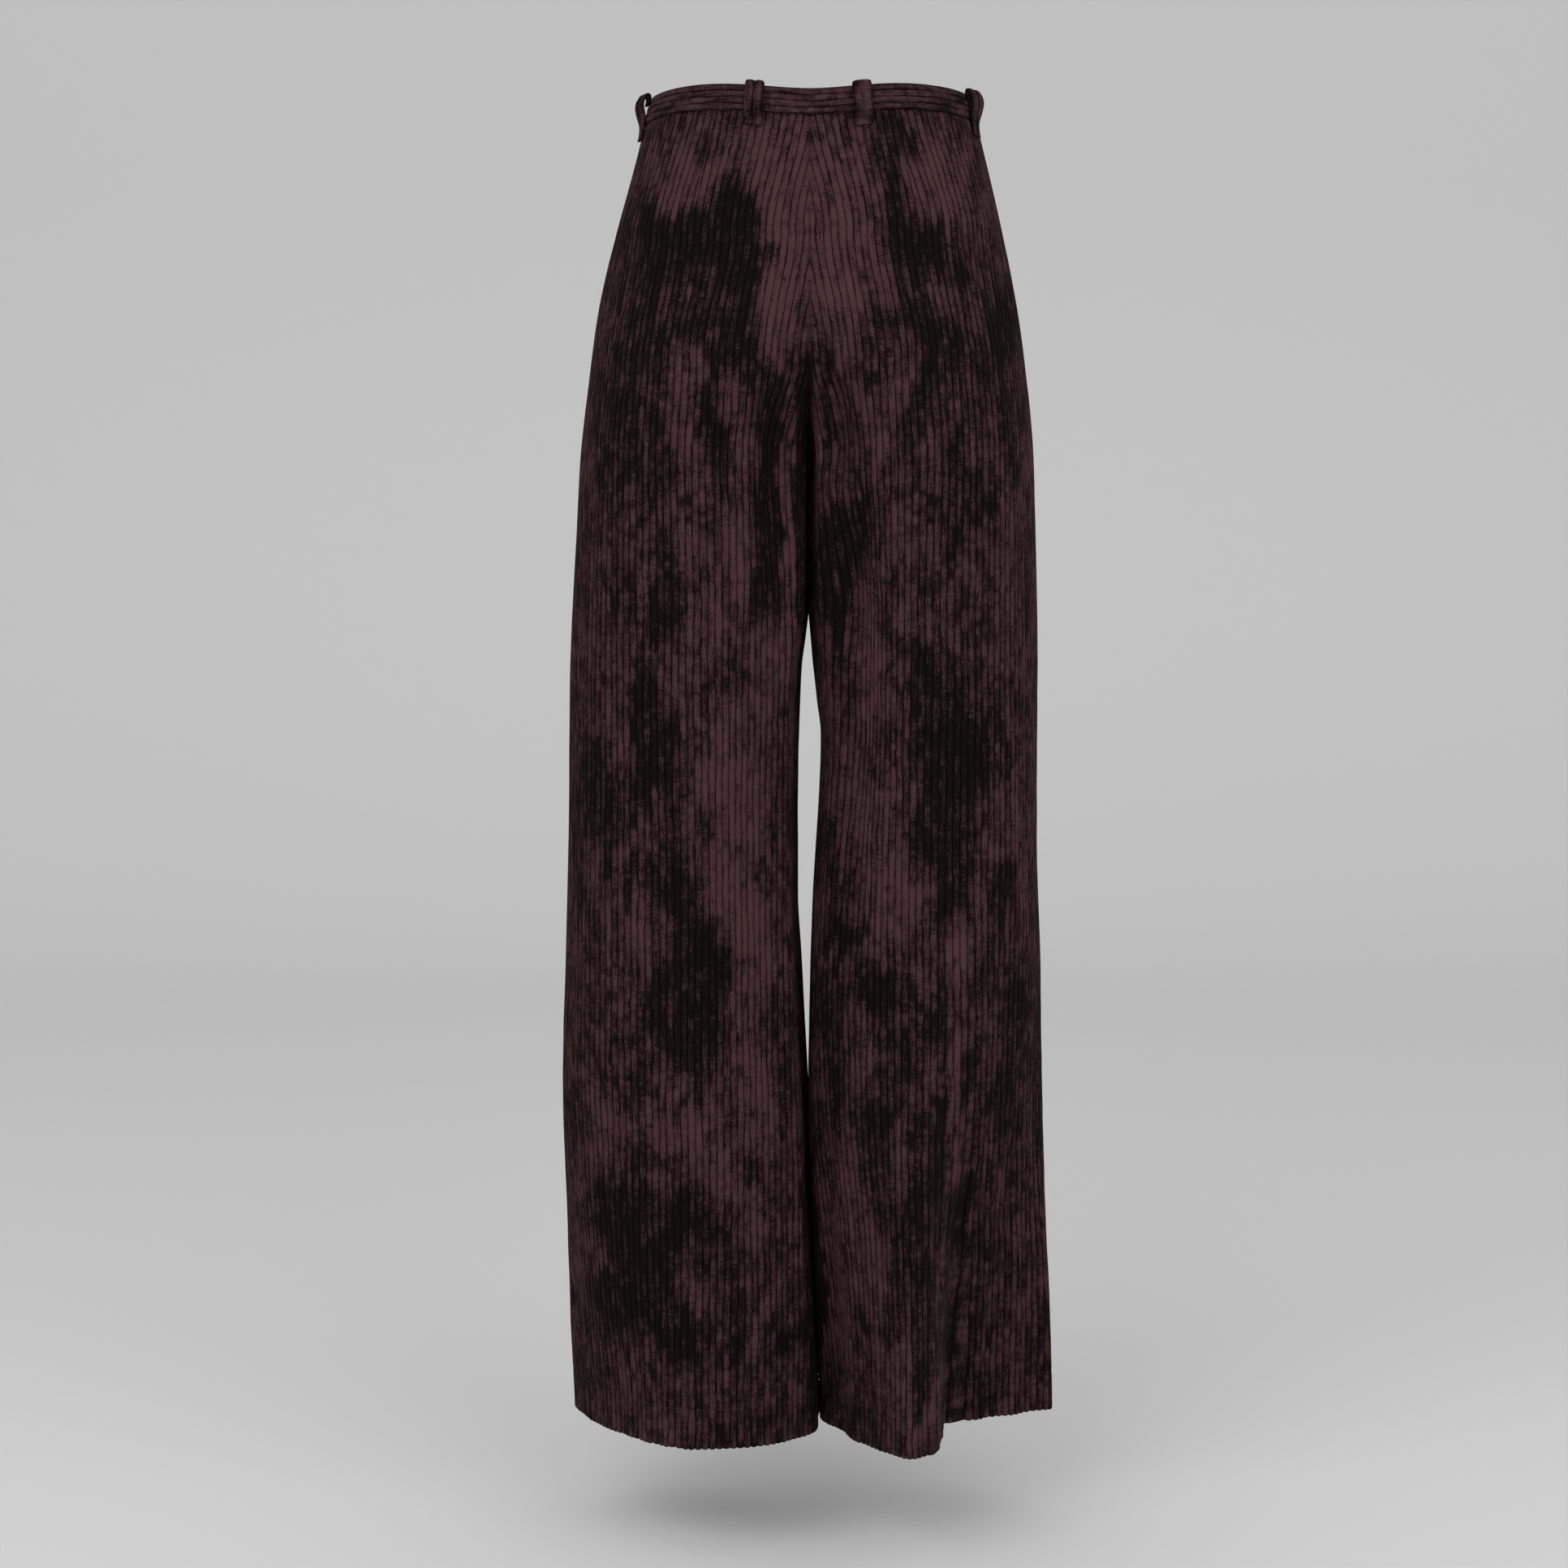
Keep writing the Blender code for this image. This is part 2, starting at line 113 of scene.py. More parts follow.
# The plan shape that the hems fall into, in millimetres, by the angle round each leg from its
# inseam through the back. out is away from the body's centre and away is towards the front.
HEM_COLUMNS = ("angle", "left_out", "left_away", "right_out", "right_away")
HEM_SHAPE = np.array([
    (0, 0, 0, 0, 0), (30, -9, 4, 7, 8), (50, 0, -3, 0, 0), (65, 0, -1, -2, -14),
    (78, 0, 0, -4, -28), (90, 0, 0, -7, -13), (100, -2, 6, -17, 23), (110, -4, 13, -31, 49),
    (120, -7, 21, -44, 60), (130, -10, 26, -49, 58), (145, -8, 31, -42, 50), (160, -6, 32, -22, 40),
    (180, 0, 28, 1, 21), (205, 2, 12, 2, 8), (235, 0, 0, 0, 0), (275, -2, 6, 2, 9),
    (310, 3, -7, -2, -5), (360, 0, 0, 0, 0),
])
LEFT_HEM_SHAPE_TOP = -0.700
RIGHT_HEM_SHAPE_TOP = -0.600
HEM_SHAPE_POWER = 1.2

# Soft folds of each panel that hang from the seat, the crotch and the knees. x is the distance
# out from the centre plane, push is outwards, and all are in millimetres.
FOLD_COLUMNS = ("top", "bottom", "x_top", "x_bottom", "width", "push")
FOLDS = {
    (LEFT, BACK): [
        (-175, -370, 25, 29, 13, -5.0), (-200, -450, 48, 52, 14, 3.5),
        (-210, -400, 76, 78, 13, -3.5), (-430, -820, 92, 66, 17, 4.0),
        (-500, -800, 118, 98, 20, -4.0), (-800, -1010, 100, 96, 34, -4.0),
    ],
    (RIGHT, BACK): [
        (-180, -300, 20, 22, 13, -4.5), (-270, -440, 48, 26, 15, -6.0),
        (-300, -560, 70, 64, 16, 3.5), (-440, -700, 112, 108, 22, -4.5),
        (-560, -900, 132, 120, 15, 3.5), (-640, -860, 70, 64, 22, -3.5),
    ],
    (LEFT, FRONT): [
        (-190, -420, 26, 34, 14, -5.0), (-230, -620, 62, 72, 17, 3.5),
        (-420, -900, 112, 96, 22, -4.0), (-700, -1100, 66, 58, 22, 4.0),
    ],
    (RIGHT, FRONT): [
        (-190, -400, 24, 36, 14, -5.0), (-240, -560, 60, 66, 16, 3.5),
        (-460, -860, 118, 104, 22, -4.5), (-660, -1100, 74, 80, 22, 4.5),
    ],
}
FOLD_EASE = 0.35
FOLD_CLEAR_OF_SEAM = 0.006

# Each belt loop is a strap over the band: its name, how far round the waist it lies, in metres
# from the centre back towards +X along the middle of the band, and its number of cords.
LOOPS = [
    ("belt_loop_back_left", -0.0412, 2),
    ("belt_loop_back_right", 0.0392, 1),
    ("belt_loop_side_left", -0.1575, 2),
    ("belt_loop_side_right", 0.1430, 2),
    ("belt_loop_front_left", -0.2790, 2),
    ("belt_loop_front_right", 0.2840, 2),
]
# The middle line of the strap, in millimetres: its height, and how far it stands off the cloth
# below the band. Its end is turned under at the top, and it is sewn down below the band.
LOOP_PATH_COLUMNS = ("height", "stand_off")
LOOP_PATH = np.array([
    (4.5, 2.4), (8.5, 2.5), (10.8, 3.2), (11.6, 4.8), (10.5, 6.8), (6.0, 8.4), (0.0, 9.2),
    (-6.0, 8.8), (-10.8, 6.8), (-13.4, 4.1), (-15.5, 2.1), (-17.6, 1.55), (-20.5, 1.55),
])

# The same for the two side loops, which lie closer to the cloth, each turned a little to the back.
SIDE_LOOP_PATH = np.array([
    (4.5, 2.4), (8.5, 2.5), (10.8, 3.0), (11.9, 4.6), (11.2, 6.8), (7.6, 8.6), (3.0, 8.3),
    (-2.0, 6.2), (-6.5, 4.2), (-10.5, 2.9), (-14.5, 2.1), (-18.0, 1.7), (-22.5, 1.55),
])
SIDE_LOOP_TURN = math.radians(15)

# Narrower creases, in the same columns as FOLDS: the drag lines under the seat, the breaks at
# the knees and the slack above the hems.
CREASES = {
    (LEFT, BACK): [
        (-186, -330, 12, 9, 5, -1.8), (-190, -400, 38, 41, 7, 1.3), (-228, -318, 74, 73, 7, -1.8),
        (-190, -400, 88, 90, 8, 1.2), (-250, -520, 62, 58, 6, -1.0), (-470, -640, 40, 52, 8, -1.2),
        (-560, -760, 136, 126, 9, -1.4), (-690, -960, 62, 56, 8, 1.1),
        (-900, -1030, 128, 134, 10, -1.3),
    ],
    (RIGHT, BACK): [
        (-192, -300, 20, 20, 6, -1.8), (-240, -480, 44, 8, 8, -2.2), (-215, -420, 58, 40, 8, 1.6),
        (-330, -500, 88, 92, 9, -1.2), (-500, -700, 50, 58, 7, 1.0),
        (-560, -1090, 120, 101, 5, 2.4), (-600, -1090, 109, 90, 7, -1.5),
        (-600, -1090, 129, 111, 7, -2.4), (-760, -1000, 60, 50, 9, -1.2),
        (-820, -1010, 150, 158, 10, -1.2),
    ],
    (LEFT, FRONT): [
        (-180, -330, 12, 18, 6, -1.6), (-215, -420, 44, 58, 8, 1.5), (-470, -600, 74, 86, 8, -1.3),
        (-540, -820, 90, 86, 7, 1.4), (-880, -1090, 92, 84, 8, 1.6),
        (-900, -1090, 110, 104, 9, -1.4),
    ],
    (RIGHT, FRONT): [
        (-182, -340, 13, 22, 6, -1.6), (-230, -440, 46, 62, 8, 1.4), (-480, -620, 70, 84, 9, -1.4),
        (-560, -860, 94, 92, 7, 1.3), (-840, -1090, 96, 104, 8, 1.7),
        (-850, -1090, 78, 84, 9, -1.3),
    ],
}

# Where the grain of the cloth runs down each leg: the distance out from the centre plane of the
# cord that hangs straight, in millimetres.
GRAIN_COLUMNS = ("height", "back", "front")
GRAIN = np.array([
    (-1041, 89, 90), (-800, 88, 89), (-265, 88, 88), (-200, 85, 84), (-100, 71, 70), (0, 54, 56),
])

# The back of each leg is fuller on its inner side than its ring is. By height, it comes back by
# this share of the way to a level, which is CLEFT_LEVEL times the ring's depth.
CLEFT_COLUMNS = ("height", "share")
CLEFT = np.array([
    (-1041, 0.0), (-900, 0.26), (-700, 0.38), (-480, 0.44), (-400, 0.60), (-232, 0.60), (-195, 0.0),
])
CLEFT_LEVEL = 0.86
CLEFT_REACH = 0.024
CLEFT_EDGES = {LEFT: 0.0042, RIGHT: 0.0030}
SWAY_DEPTH = 0.0019
SWAY_WIDTH = 0.014
SWAY_LENGTH = 0.012

# The right back drops into a long fold, whose hidden side takes up cloth: the distances out of
# its two edges and of the cord beyond it that hangs straight, the height of its top, and the
# cloth coordinates of its hidden side.
TAKEN_UP_FROM = 0.095
TAKEN_UP_TO = 0.128
STRAIGHT_BEYOND = 0.150
TAKEN_UP_TOP = -0.600
TAKEN_UP_SHARE = 0.92
TAKEN_UP_CLOTH = (0.003, 0.052)

# The dart of each back, from its point up to the waist seam: height and distance out in
# millimetres at both ends, and the cloth that it takes in at the waist.
DART_COLUMNS = ("point", "x_point", "top", "x_top", "take_in")
DARTS = {LEFT: (-96, 92, -9, 70, 9.0), RIGHT: (-88, 82, -9, 64, 9.0)}

# How the nap lies: patches brushed up (dark, below 0) or down (light, above 0), as ellipses in
# millimetres seen from the back or from the front. A few of them are painted light, not nap:
# painted shade in the cleft and in the gap between the legs, and a painted highlight and painted
# shade along the long fold of the right back.
NAP_AND_PAINTED_LIGHT_COLUMNS = ("x", "z", "half_width", "half_height", "lie_and_painted_light")
NAP_AND_PAINTED_LIGHT = {
    BACK: [
        (-20, -80, 26, 68, 1.0), (20, -66, 32, 52, 0.9), (-8, -150, 26, 44, 1.0),
        (28, -138, 28, 48, 0.8), (-98, -60, 22, 30, 1.0), (-74, -44, 18, 18, 0.5),
        (92, -58, 24, 32, 0.9), (140, -96, 12, 34, 0.3), (-74, -36, 12, 8, -1.3),
        (-120, -28, 16, 16, -0.5), (-64, -78, 16, 14, -1.1), (-86, -106, 34, 20, -1.2),
        (-54, -98, 14, 26, -1.1), (-120, -96, 10, 22, -1.0), (-76, -134, 40, 18, -0.7),
        (-50, -150, 13, 24, -1.0), (-76, -174, 28, 13, -1.1), (-60, -192, 20, 16, -1.1),
        (-114, -150, 22, 40, -0.5), (-33, -121, 11, 7, -1.4), (-150, -208, 16, 28, -0.6),
        (-142, -256, 22, 30, -0.6), (-31, -216, 7, 22, -1.0), (-29, -290, 8, 54, -1.1),
        (-74, -246, 9, 46, -0.6), (-93, -272, 13, 96, 0.7), (-51, -292, 10, 84, 0.7),
        # The patch at (-3, -300) on the next line is painted shade in the cleft between the legs.
        (-14, -320, 7, 90, 0.8), (-3, -300, 6, 110, -1.8), (74, -86, 12, 16, -1.0),
        (84, -114, 20, 22, -1.2), (106, -122, 16, 22, -1.1), (74, -166, 22, 14, -0.7),
        (92, -192, 20, 20, -0.9), (150, -166, 12, 28, -1.0), (132, -188, 20, 20, -0.7),
        (86, -232, 15, 28, -1.1), (106, -266, 11, 18, -1.2), (74, -256, 9, 26, -0.8),
        (130, -290, 11, 20, -1.1), (110, -322, 12, 26, -0.6), (46, -40, 11, 13, -0.9),
        (61, -62, 6, 20, -1.0), (60, -104, 6, 20, -0.8), (16, -230, 5, 28, -0.9),
        (30, -308, 12, 12, -1.0), (24, -334, 13, 26, -1.9), (16, -368, 13, 28, -1.8),
        (60, -306, 16, 60, 0.6), (46, -250, 12, 28, 0.5), (-31, -372, 8, 30, -1.0),
        (-60, -386, 11, 16, -1.0), (-112, -376, 12, 26, -0.8), (-142, -370, 12, 24, -0.8),
        (-122, -478, 11, 56, -1.1), (-102, -506, 9, 54, -0.6), (-164, -524, 14, 38, -0.8),
        (-60, -442, 22, 13, -0.7), (-50, -524, 32, 42, 0.8), (-30, -440, 12, 56, 0.6),
        (-60, -592, 20, 46, 0.85), (-44, -652, 18, 58, 0.8), (-86, -432, 12, 56, 0.4),
        (-130, -596, 15, 16, -1.0), (-102, -602, 18, 24, -1.0), (-90, -660, 24, 34, -1.3),
        (-76, -694, 15, 26, -1.2), (-110, -694, 18, 34, -1.1), (-40, -592, 10, 7, -0.9),
        (-150, -430, 18, 48, 0.3), (-150, -662, 18, 46, 0.4), (20, -370, 13, 30, -0.9),
        (44, -422, 14, 54, 0.7), (62, -566, 24, 54, 1.0), (40, -500, 16, 44, 0.5),
        (74, -420, 16, 13, -0.8), (100, -442, 19, 24, -1.1), (110, -492, 26, 42, -1.3),
        (96, -544, 20, 30, -1.1), (146, -480, 10, 34, -1.0), (60, -516, 22, 8, -0.8),
        (120, -562, 13, 34, -1.0), (110, -604, 16, 24, -0.8), (152, -610, 13, 22, -1.0),
        (12, -574, 7, 28, -0.8), (30, -636, 12, 10, -1.2), (15, -682, 12, 26, -0.9),
        (60, -682, 26, 22, -1.1), (104, -694, 16, 24, -0.8), (162, -694, 10, 36, -0.9),
        (70, -612, 16, 20, 1.0), (116, -652, 9, 36, 0.6), (-90, -728, 26, 18, -0.9),
        (-100, -782, 36, 15, 1.1), (-40, -762, 20, 46, 1.0), (-76, -812, 26, 13, 0.5),
        (-166, -800, 12, 38, 0.6), (-150, -862, 20, 30, -1.0), (-96, -862, 26, 30, -1.2),
        (-122, -902, 26, 24, -1.0), (-152, -932, 22, 24, -1.1), (-100, -946, 26, 20, -1.2),
        (-68, -902, 16, 36, -0.7), (-60, -962, 12, 13, -0.9), (-14, -960, 16, 10, -1.1),
        (-30, -856, 20, 54, 0.3), (-110, -1012, 60, 13, 0.3), (20, -732, 13, 36, -0.8),
        (60, -772, 16, 13, -0.8), (70, -722, 20, 22, -0.8), (90, -802, 11, 46, -0.8),
        (76, -882, 16, 46, -0.8), (40, -832, 18, 44, 0.5), (50, -904, 13, 36, 0.4),
        # The thin light patches from x 102 to 119, from (119, -655) down to (102, -985), are a painted
        # highlight on the edge of the long fold of the right back, and (126, -742), (119, -864) and (112,
        # -962) are painted shade in its valley.
        (20, -982, 13, 18, 0.3), (119, -655, 3, 34, 1.5), (116, -742, 4, 32, 1.5),
        (112, -804, 4, 28, 1.6), (104, -905, 3, 20, 1.0), (102, -985, 3, 36, 0.5),
        # The patches at (3, -860) and (7, -960) are painted shade in the gap between the legs.
        (91, -925, 9, 52, -1.0), (86, -984, 10, 20, -0.9), (3, -860, 5, 76, -1.8),
        (7, -960, 5, 90, -1.8), (126, -742, 8, 26, -0.9), (119, -864, 11, 36, -1.2),
        (112, -962, 10, 46, -1.0), (150, -762, 12, 26, -0.7), (80, -1016, 20, 10, 0.7),
    ],
    FRONT: [
        (-70, -130, 30, 56, -1.1), (-44, -80, 14, 30, 0.8), (-112, -90, 20, 40, 0.6),
        (82, -170, 30, 42, -1.1), (40, -120, 22, 60, 0.9), (108, -80, 18, 40, 0.7),
        (-30, -320, 13, 56, -1.1), (-64, -330, 16, 80, 0.7), (-110, -300, 20, 40, -0.8),
        (28, -330, 14, 54, -1.2), (70, -320, 18, 70, 0.7), (118, -310, 18, 44, -0.9),
        (-102, -470, 26, 60, -1.1), (-50, -520, 26, 60, 1.0), (-140, -560, 16, 40, 0.5),
        (64, -540, 26, 60, -1.2), (112, -440, 24, 50, 0.9), (30, -440, 14, 40, 0.5),
        (130, -600, 18, 40, -0.8), (-64, -690, 28, 40, -1.2), (-100, -650, 20, 30, 0.7),
        (-40, -800, 22, 50, 0.9), (-110, -820, 26, 50, -1.0), (-70, -930, 26, 34, -1.0),
        (-150, -900, 16, 50, 0.6), (100, -720, 26, 44, -1.1), (60, -680, 18, 40, 0.9),
        (70, -840, 22, 60, 0.9), (118, -880, 22, 50, -1.1), (40, -930, 16, 34, -0.9),
        (160, -820, 12, 50, 0.5),
    ],
}

CORD_PITCH = 0.0056
CORD_PHASES = np.array([0.0, 0.15, 0.38, 0.62, 0.85])
CORD_HEIGHT = 0.00115
CORD_BASE = -0.00090
CORD_UNEVEN = 0.16
CORD_SHIFT = 0.0137
INNER_SLANT = 0.014
SEAM_DEPTH = 0.0016
SEAM_HALF_WIDTH = 0.0017
TUCK = 0.0013
TUCK_HEIGHT = 0.0020
STITCH_DENT = 0.00065
NAP_LEVEL = 0.457
# How far the nap, and the painted shade and highlight among its patches, move the colour level.
NAP_AND_PAINTED_LIGHT_SHARE = 0.38
# How far painted shade darkens the flanks of the cords.
FLANK_SHADE_SHARE = 0.34
STREAK_SHARE = 0.80
FIBRE_SHARE = 1.00
FLECK_SHARE = 1.50
STITCH_LINE = HEM + 0.0320
STITCH_PITCH = 0.0040
STITCH_LENGTH = 0.0027

RING_POINTS = 1201
ROW_STEP = 0.0060
CORDS_EACH_WAY = 44
CROTCH_STEPS = np.array([0.6, 1.6, 3, 5, 7.5, 10.5, 14, 18, 22.5, 27.5, 33, 39, 45.5, 52]) / 1000

BAND_CORDS = 4
BAND_BASE = -0.00060
BAND_RELIEF = 0.00085
BAND_STEPS = 470
LOOP_STEPS = 64
# How far it is round the waist at the middle of the band, by the right side and by the left.
WAIST_LENGTHS = (0.34787, 0.34141)
WAIST_LEVELS = np.linspace(-0.034, 0.016, 26)
WAIST_SHARES = 2400

# The flat cut of each leg panel: its width and length, and its area.
PANEL_CUTS = {
    (LEFT, BACK): ((0.334, 1.068), 0.3225),
    (LEFT, FRONT): ((0.313, 1.060), 0.3045),
    (RIGHT, BACK): ((0.363, 1.068), 0.3230),
    (RIGHT, FRONT): ((0.322, 1.062), 0.3055),
}

FLOOR = -1.130
FLOOR_BACK = 2.8
FLOOR_BEND = 1.4

CAMERA_LENS = 78.61
CAMERA_PLACE = (-0.0193, -2.70, -0.2753)
CAMERA_DOWN = 5.3355

SIDE_NAMES = {LEFT: "left", RIGHT: "right"}
FACE_NAMES = {BACK: "back", FRONT: "front"}


def read(rows, columns, name, at, ends_flat=False):
    """One column of a table at any height or angle, as a cubic curve through its values. Each
    slope is the harmonic mean of the two steps beside it, so that nothing overshoots."""
    table = rows[np.argsort(rows[:, 0])]
    x, y = table[:, 0], table[:, columns.index(name)]
    step = np.diff(x)
    slope = np.diff(y) / step
    rate = np.zeros_like(y)
    turning = slope[1:] * slope[:-1] > 0
    mean = 2 * slope[1:] * slope[:-1] / np.where(turning, slope[1:] + slope[:-1], 1)
    rate[1:-1] = np.where(turning, mean, 0)
    if not ends_flat:
        rate[0], rate[-1] = slope[0], slope[-1]
    at = np.clip(np.asarray(at, float), x[0], x[-1])
    i = np.clip(np.searchsorted(x, at) - 1, 0, len(step) - 1)
    t = (at - x[i]) / step[i]
    start = (1 + 2 * t) * (1 - t) ** 2 * y[i] + t * (1 - t) ** 2 * step[i] * rate[i]
    end = t**2 * (3 - 2 * t) * y[i + 1] - t**2 * (1 - t) * step[i] * rate[i + 1]
    return start + end


def outline(name, z):
    """One column of OUTLINE at height z: lengths in metres, the part columns as they are."""
    value = read(OUTLINE, OUTLINE_COLUMNS, name, z * 1000)
    return value if name.startswith("part") else value / 1000


def ease(t):
    """0 below 0, 1 above 1, and the smooth step 3t^2 - 2t^3 between."""
    t = np.clip(t, 0, 1)
    return t * t * (3 - 2 * t)


def ring(side, face, z):
    """Half of one leg's ring at height z, from the inseam to the side seam: an ellipse whose
    corners are filled out by FULLNESS times the squared sine or cosine of its angle."""
    outer = outline(SIDE_NAMES[side], z)
    if z < CROTCH:
        inner = side * read(INSEAM, INSEAM_COLUMNS, SIDE_NAMES[side], z * 1000) / 1000
        centre, half = (outer + inner) / 2, (outer - inner) / 2
    else:
        part = outline("part_" + FACE_NAMES[face], z)
        half = outer / (1 + part)
        centre = part * half
    depth = outline(FACE_NAMES[face], z)
    turn = np.linspace(0, math.pi, RING_POINTS)
    sine, cosine = np.sin(turn), np.cos(turn)
    x = centre - half * cosine * (1 + FULLNESS * sine**2)
    y = outline("mid", z) + face * depth * sine * (1 + FULLNESS * cosine**2)
    return x, y, np.degrees(turn)


def outward(face, x, y):
    """The plan normal of a half ring: its direction turned by a quarter, out of the leg."""
    along_x, along_y = np.gradient(x), np.gradient(y)
    length = np.hypot(along_x, along_y)
    return -face * along_y / length, face * along_x / length


def fold_push(side, face, x, z):
    """How far the folds and creases push the cloth out. Each is a bell curve across its own
    middle line, and eases in and out along its length."""
    push = np.zeros_like(x)
    for row in FOLDS[side, face] + CREASES[side, face]:
        fold = dict(zip(FOLD_COLUMNS, row))
        down = (fold["top"] - z * 1000) / (fold["top"] - fold["bottom"])
        middle = (fold["x_top"] + (fold["x_bottom"] - fold["x_top"]) * down) / 1000
        strength = ease(down / FOLD_EASE) * ease((1 - down) / FOLD_EASE)
        push += strength * fold["push"] / 1000 * np.exp(-(((x - middle) * 1000 / fold["width"]) ** 2))
    return push * (1 - np.exp(-((x / FOLD_CLEAR_OF_SEAM) ** 2)))


def hem_shift(side, face, turn, z):
    """How the fall of the hem moves each point of a half ring, as x out and y."""
    top = LEFT_HEM_SHAPE_TOP if side == LEFT else RIGHT_HEM_SHAPE_TOP
    strength = ease((top - z) / (top - HEM)) ** HEM_SHAPE_POWER
    angle = turn if face == BACK else 360 - turn
    out = read(HEM_SHAPE, HEM_COLUMNS, SIDE_NAMES[side] + "_out", angle, ends_flat=True)
    away = read(HEM_SHAPE, HEM_COLUMNS, SIDE_NAMES[side] + "_away", angle, ends_flat=True)
    return strength * out / 1000, strength * away / 1000


def cleft_fullness(side, face, x, y, z):
    """How far back the fullness beside the cleft brings each point: its share is a bell curve
    from the inner edge outwards, less another bell curve that rounds the edge."""
    if face == FRONT:
        return np.zeros_like(x)
    level = outline("mid", z) + face * CLEFT_LEVEL * outline("back", z)
    away = np.maximum(x - max(x[0], 0), 0)
    share = np.exp(-((away / CLEFT_REACH) ** 2)) * (1 - np.exp(-((away / CLEFT_EDGES[side]) ** 2)))
    return read(CLEFT, CLEFT_COLUMNS, "share", z * 1000, True) * share * np.minimum(level - y, 0)


def section(side, face, z, marks=()):
    """The cloth's outer line at height z, as arc length, x, y and the outward normal, and the
    arc lengths of the marks, which are distances out on it before it is folded."""
    x, y, turn = ring(side, face, z)
    at = np.arange(len(x))
    shift_x, shift_y = hem_shift(side, face, turn, z)
    x, y = x + shift_x, y + shift_y
    mark_places = np.interp(marks, x, at)
    y = y + cleft_fullness(side, face, x, y, z)
    out_x, out_y = outward(face, x, y)
    push = fold_push(side, face, x, z)
    x, y = x + push * out_x, y + push * out_y
    out_x, out_y = outward(face, x, y)
    first = 0.0
    if z >= CROTCH:
        ahead = int(np.argmax(x > 0))
        if ahead:
            first = ahead - x[ahead] / (x[ahead] - x[ahead - 1])
    place = np.concatenate([[first], np.arange(math.floor(first) + 1, len(x))])
    x, y, out_x, out_y = (np.interp(place, at, v) for v in (x, y, out_x, out_y))
    arc = np.concatenate([[0], np.cumsum(np.hypot(np.diff(x), np.diff(y)))])
    return arc, x, y, out_x, out_y, np.interp(mark_places, place, arc)


def waist_rise(x, y, z):
    """How far the wave of the waist seam lifts the points of a section at height z."""
    rise = read(WAIST, WAIST_COLUMNS, "rise", np.degrees(np.arctan2(x, -y))) / 1000
    return rise * ease((z - WAIST_WAVE_END) / (WAIST_WAVE_TOP - WAIST_WAVE_END))


def cleft_sway(x, y, z):
    """A slow wave in plan that both inseams share where they hang against each other."""
    strength = 1 - ease((z - CROTCH) / 0.05)
    inseams = [read(INSEAM, INSEAM_COLUMNS, SIDE_NAMES[side], z * 1000) / 1000 for side in (LEFT, RIGHT)]
    middle = sum(inseams) / 2
    return SWAY_DEPTH * strength * np.exp(-(((x - middle) / SWAY_WIDTH) ** 2)) * np.sin(y / SWAY_LENGTH)


@functools.lru_cache
def noise_grid(seed):
    """Seeded random values from -1 to 1."""
    return np.random.default_rng(seed).uniform(-1, 1, (512, 512))


def noise(seed, u, v, size_u, size_v):
    """Smooth noise from -1 to 1: the values of a random grid, eased between its nodes."""
    u, v = np.asarray(u) / size_u + 200, np.asarray(v) / size_v + 200
    grid = noise_grid(seed)
    i, j = np.floor(u).astype(int), np.floor(v).astype(int)
    s, t = ease(u - i), ease(v - j)
    i, j, next_i, next_j = i % 512, j % 512, (i + 1) % 512, (j + 1) % 512
    low = grid[i, j] * (1 - s) + grid[next_i, j] * s
    high = grid[i, next_j] * (1 - s) + grid[next_i, next_j] * s
    return low * (1 - t) + high * t


def cord_relief(u):
    """The round of the cords across the grain: one less the cube of the distance from the
    middle of the cord, as a share of half its width."""
    phase = (u / CORD_PITCH) % 1
    return 1 - np.abs(2 * phase - 1) ** 3


def nap_and_painted_light_at(face, x, z, u):
    """How the nap lies, from -1 to 1: the patches of the nap table with ragged ends that differ from
    cord to cord, some of them painted shade between the legs and a painted highlight and shade
    along the long fold of the right back, and smaller mottling along the cords."""
    cord = np.floor(u / CORD_PITCH)
    own_z = z + CORD_SHIFT * cord
    ragged_x = x * 1000 + 5 * noise(11, x, z, 0.022, 0.030) + 2.5 * noise(12, cord, own_z, 1, 0.014)
    ragged_z = z * 1000 + 11 * noise(13, cord, own_z, 1, 0.040) + 9 * noise(14, x, z, 0.026, 0.050)
    lie_and_painted_light = np.zeros_like(x)
    for row in NAP_AND_PAINTED_LIGHT[face]:
        patch = dict(zip(NAP_AND_PAINTED_LIGHT_COLUMNS, row))
        across = (ragged_x - patch["x"]) / patch["half_width"]
        along = (ragged_z - patch["z"]) / patch["half_height"]
        lie_and_painted_light += patch["lie_and_painted_light"] * (1 - ease((np.hypot(across, along) - 0.60) / 0.80))
    lie_and_painted_light = 0.80 * np.clip(lie_and_painted_light, -1.35, 1.15)
    lie_and_painted_light += 0.36 * noise(15, x, z, 0.026, 0.060) + 0.48 * noise(16, x, z, 0.007, 0.015)
    lie_and_painted_light += 0.40 * noise(17, cord, own_z, 1, 0.030) + 0.50 * noise(18, cord, own_z, 1, 0.0065)
    return lie_and_painted_light


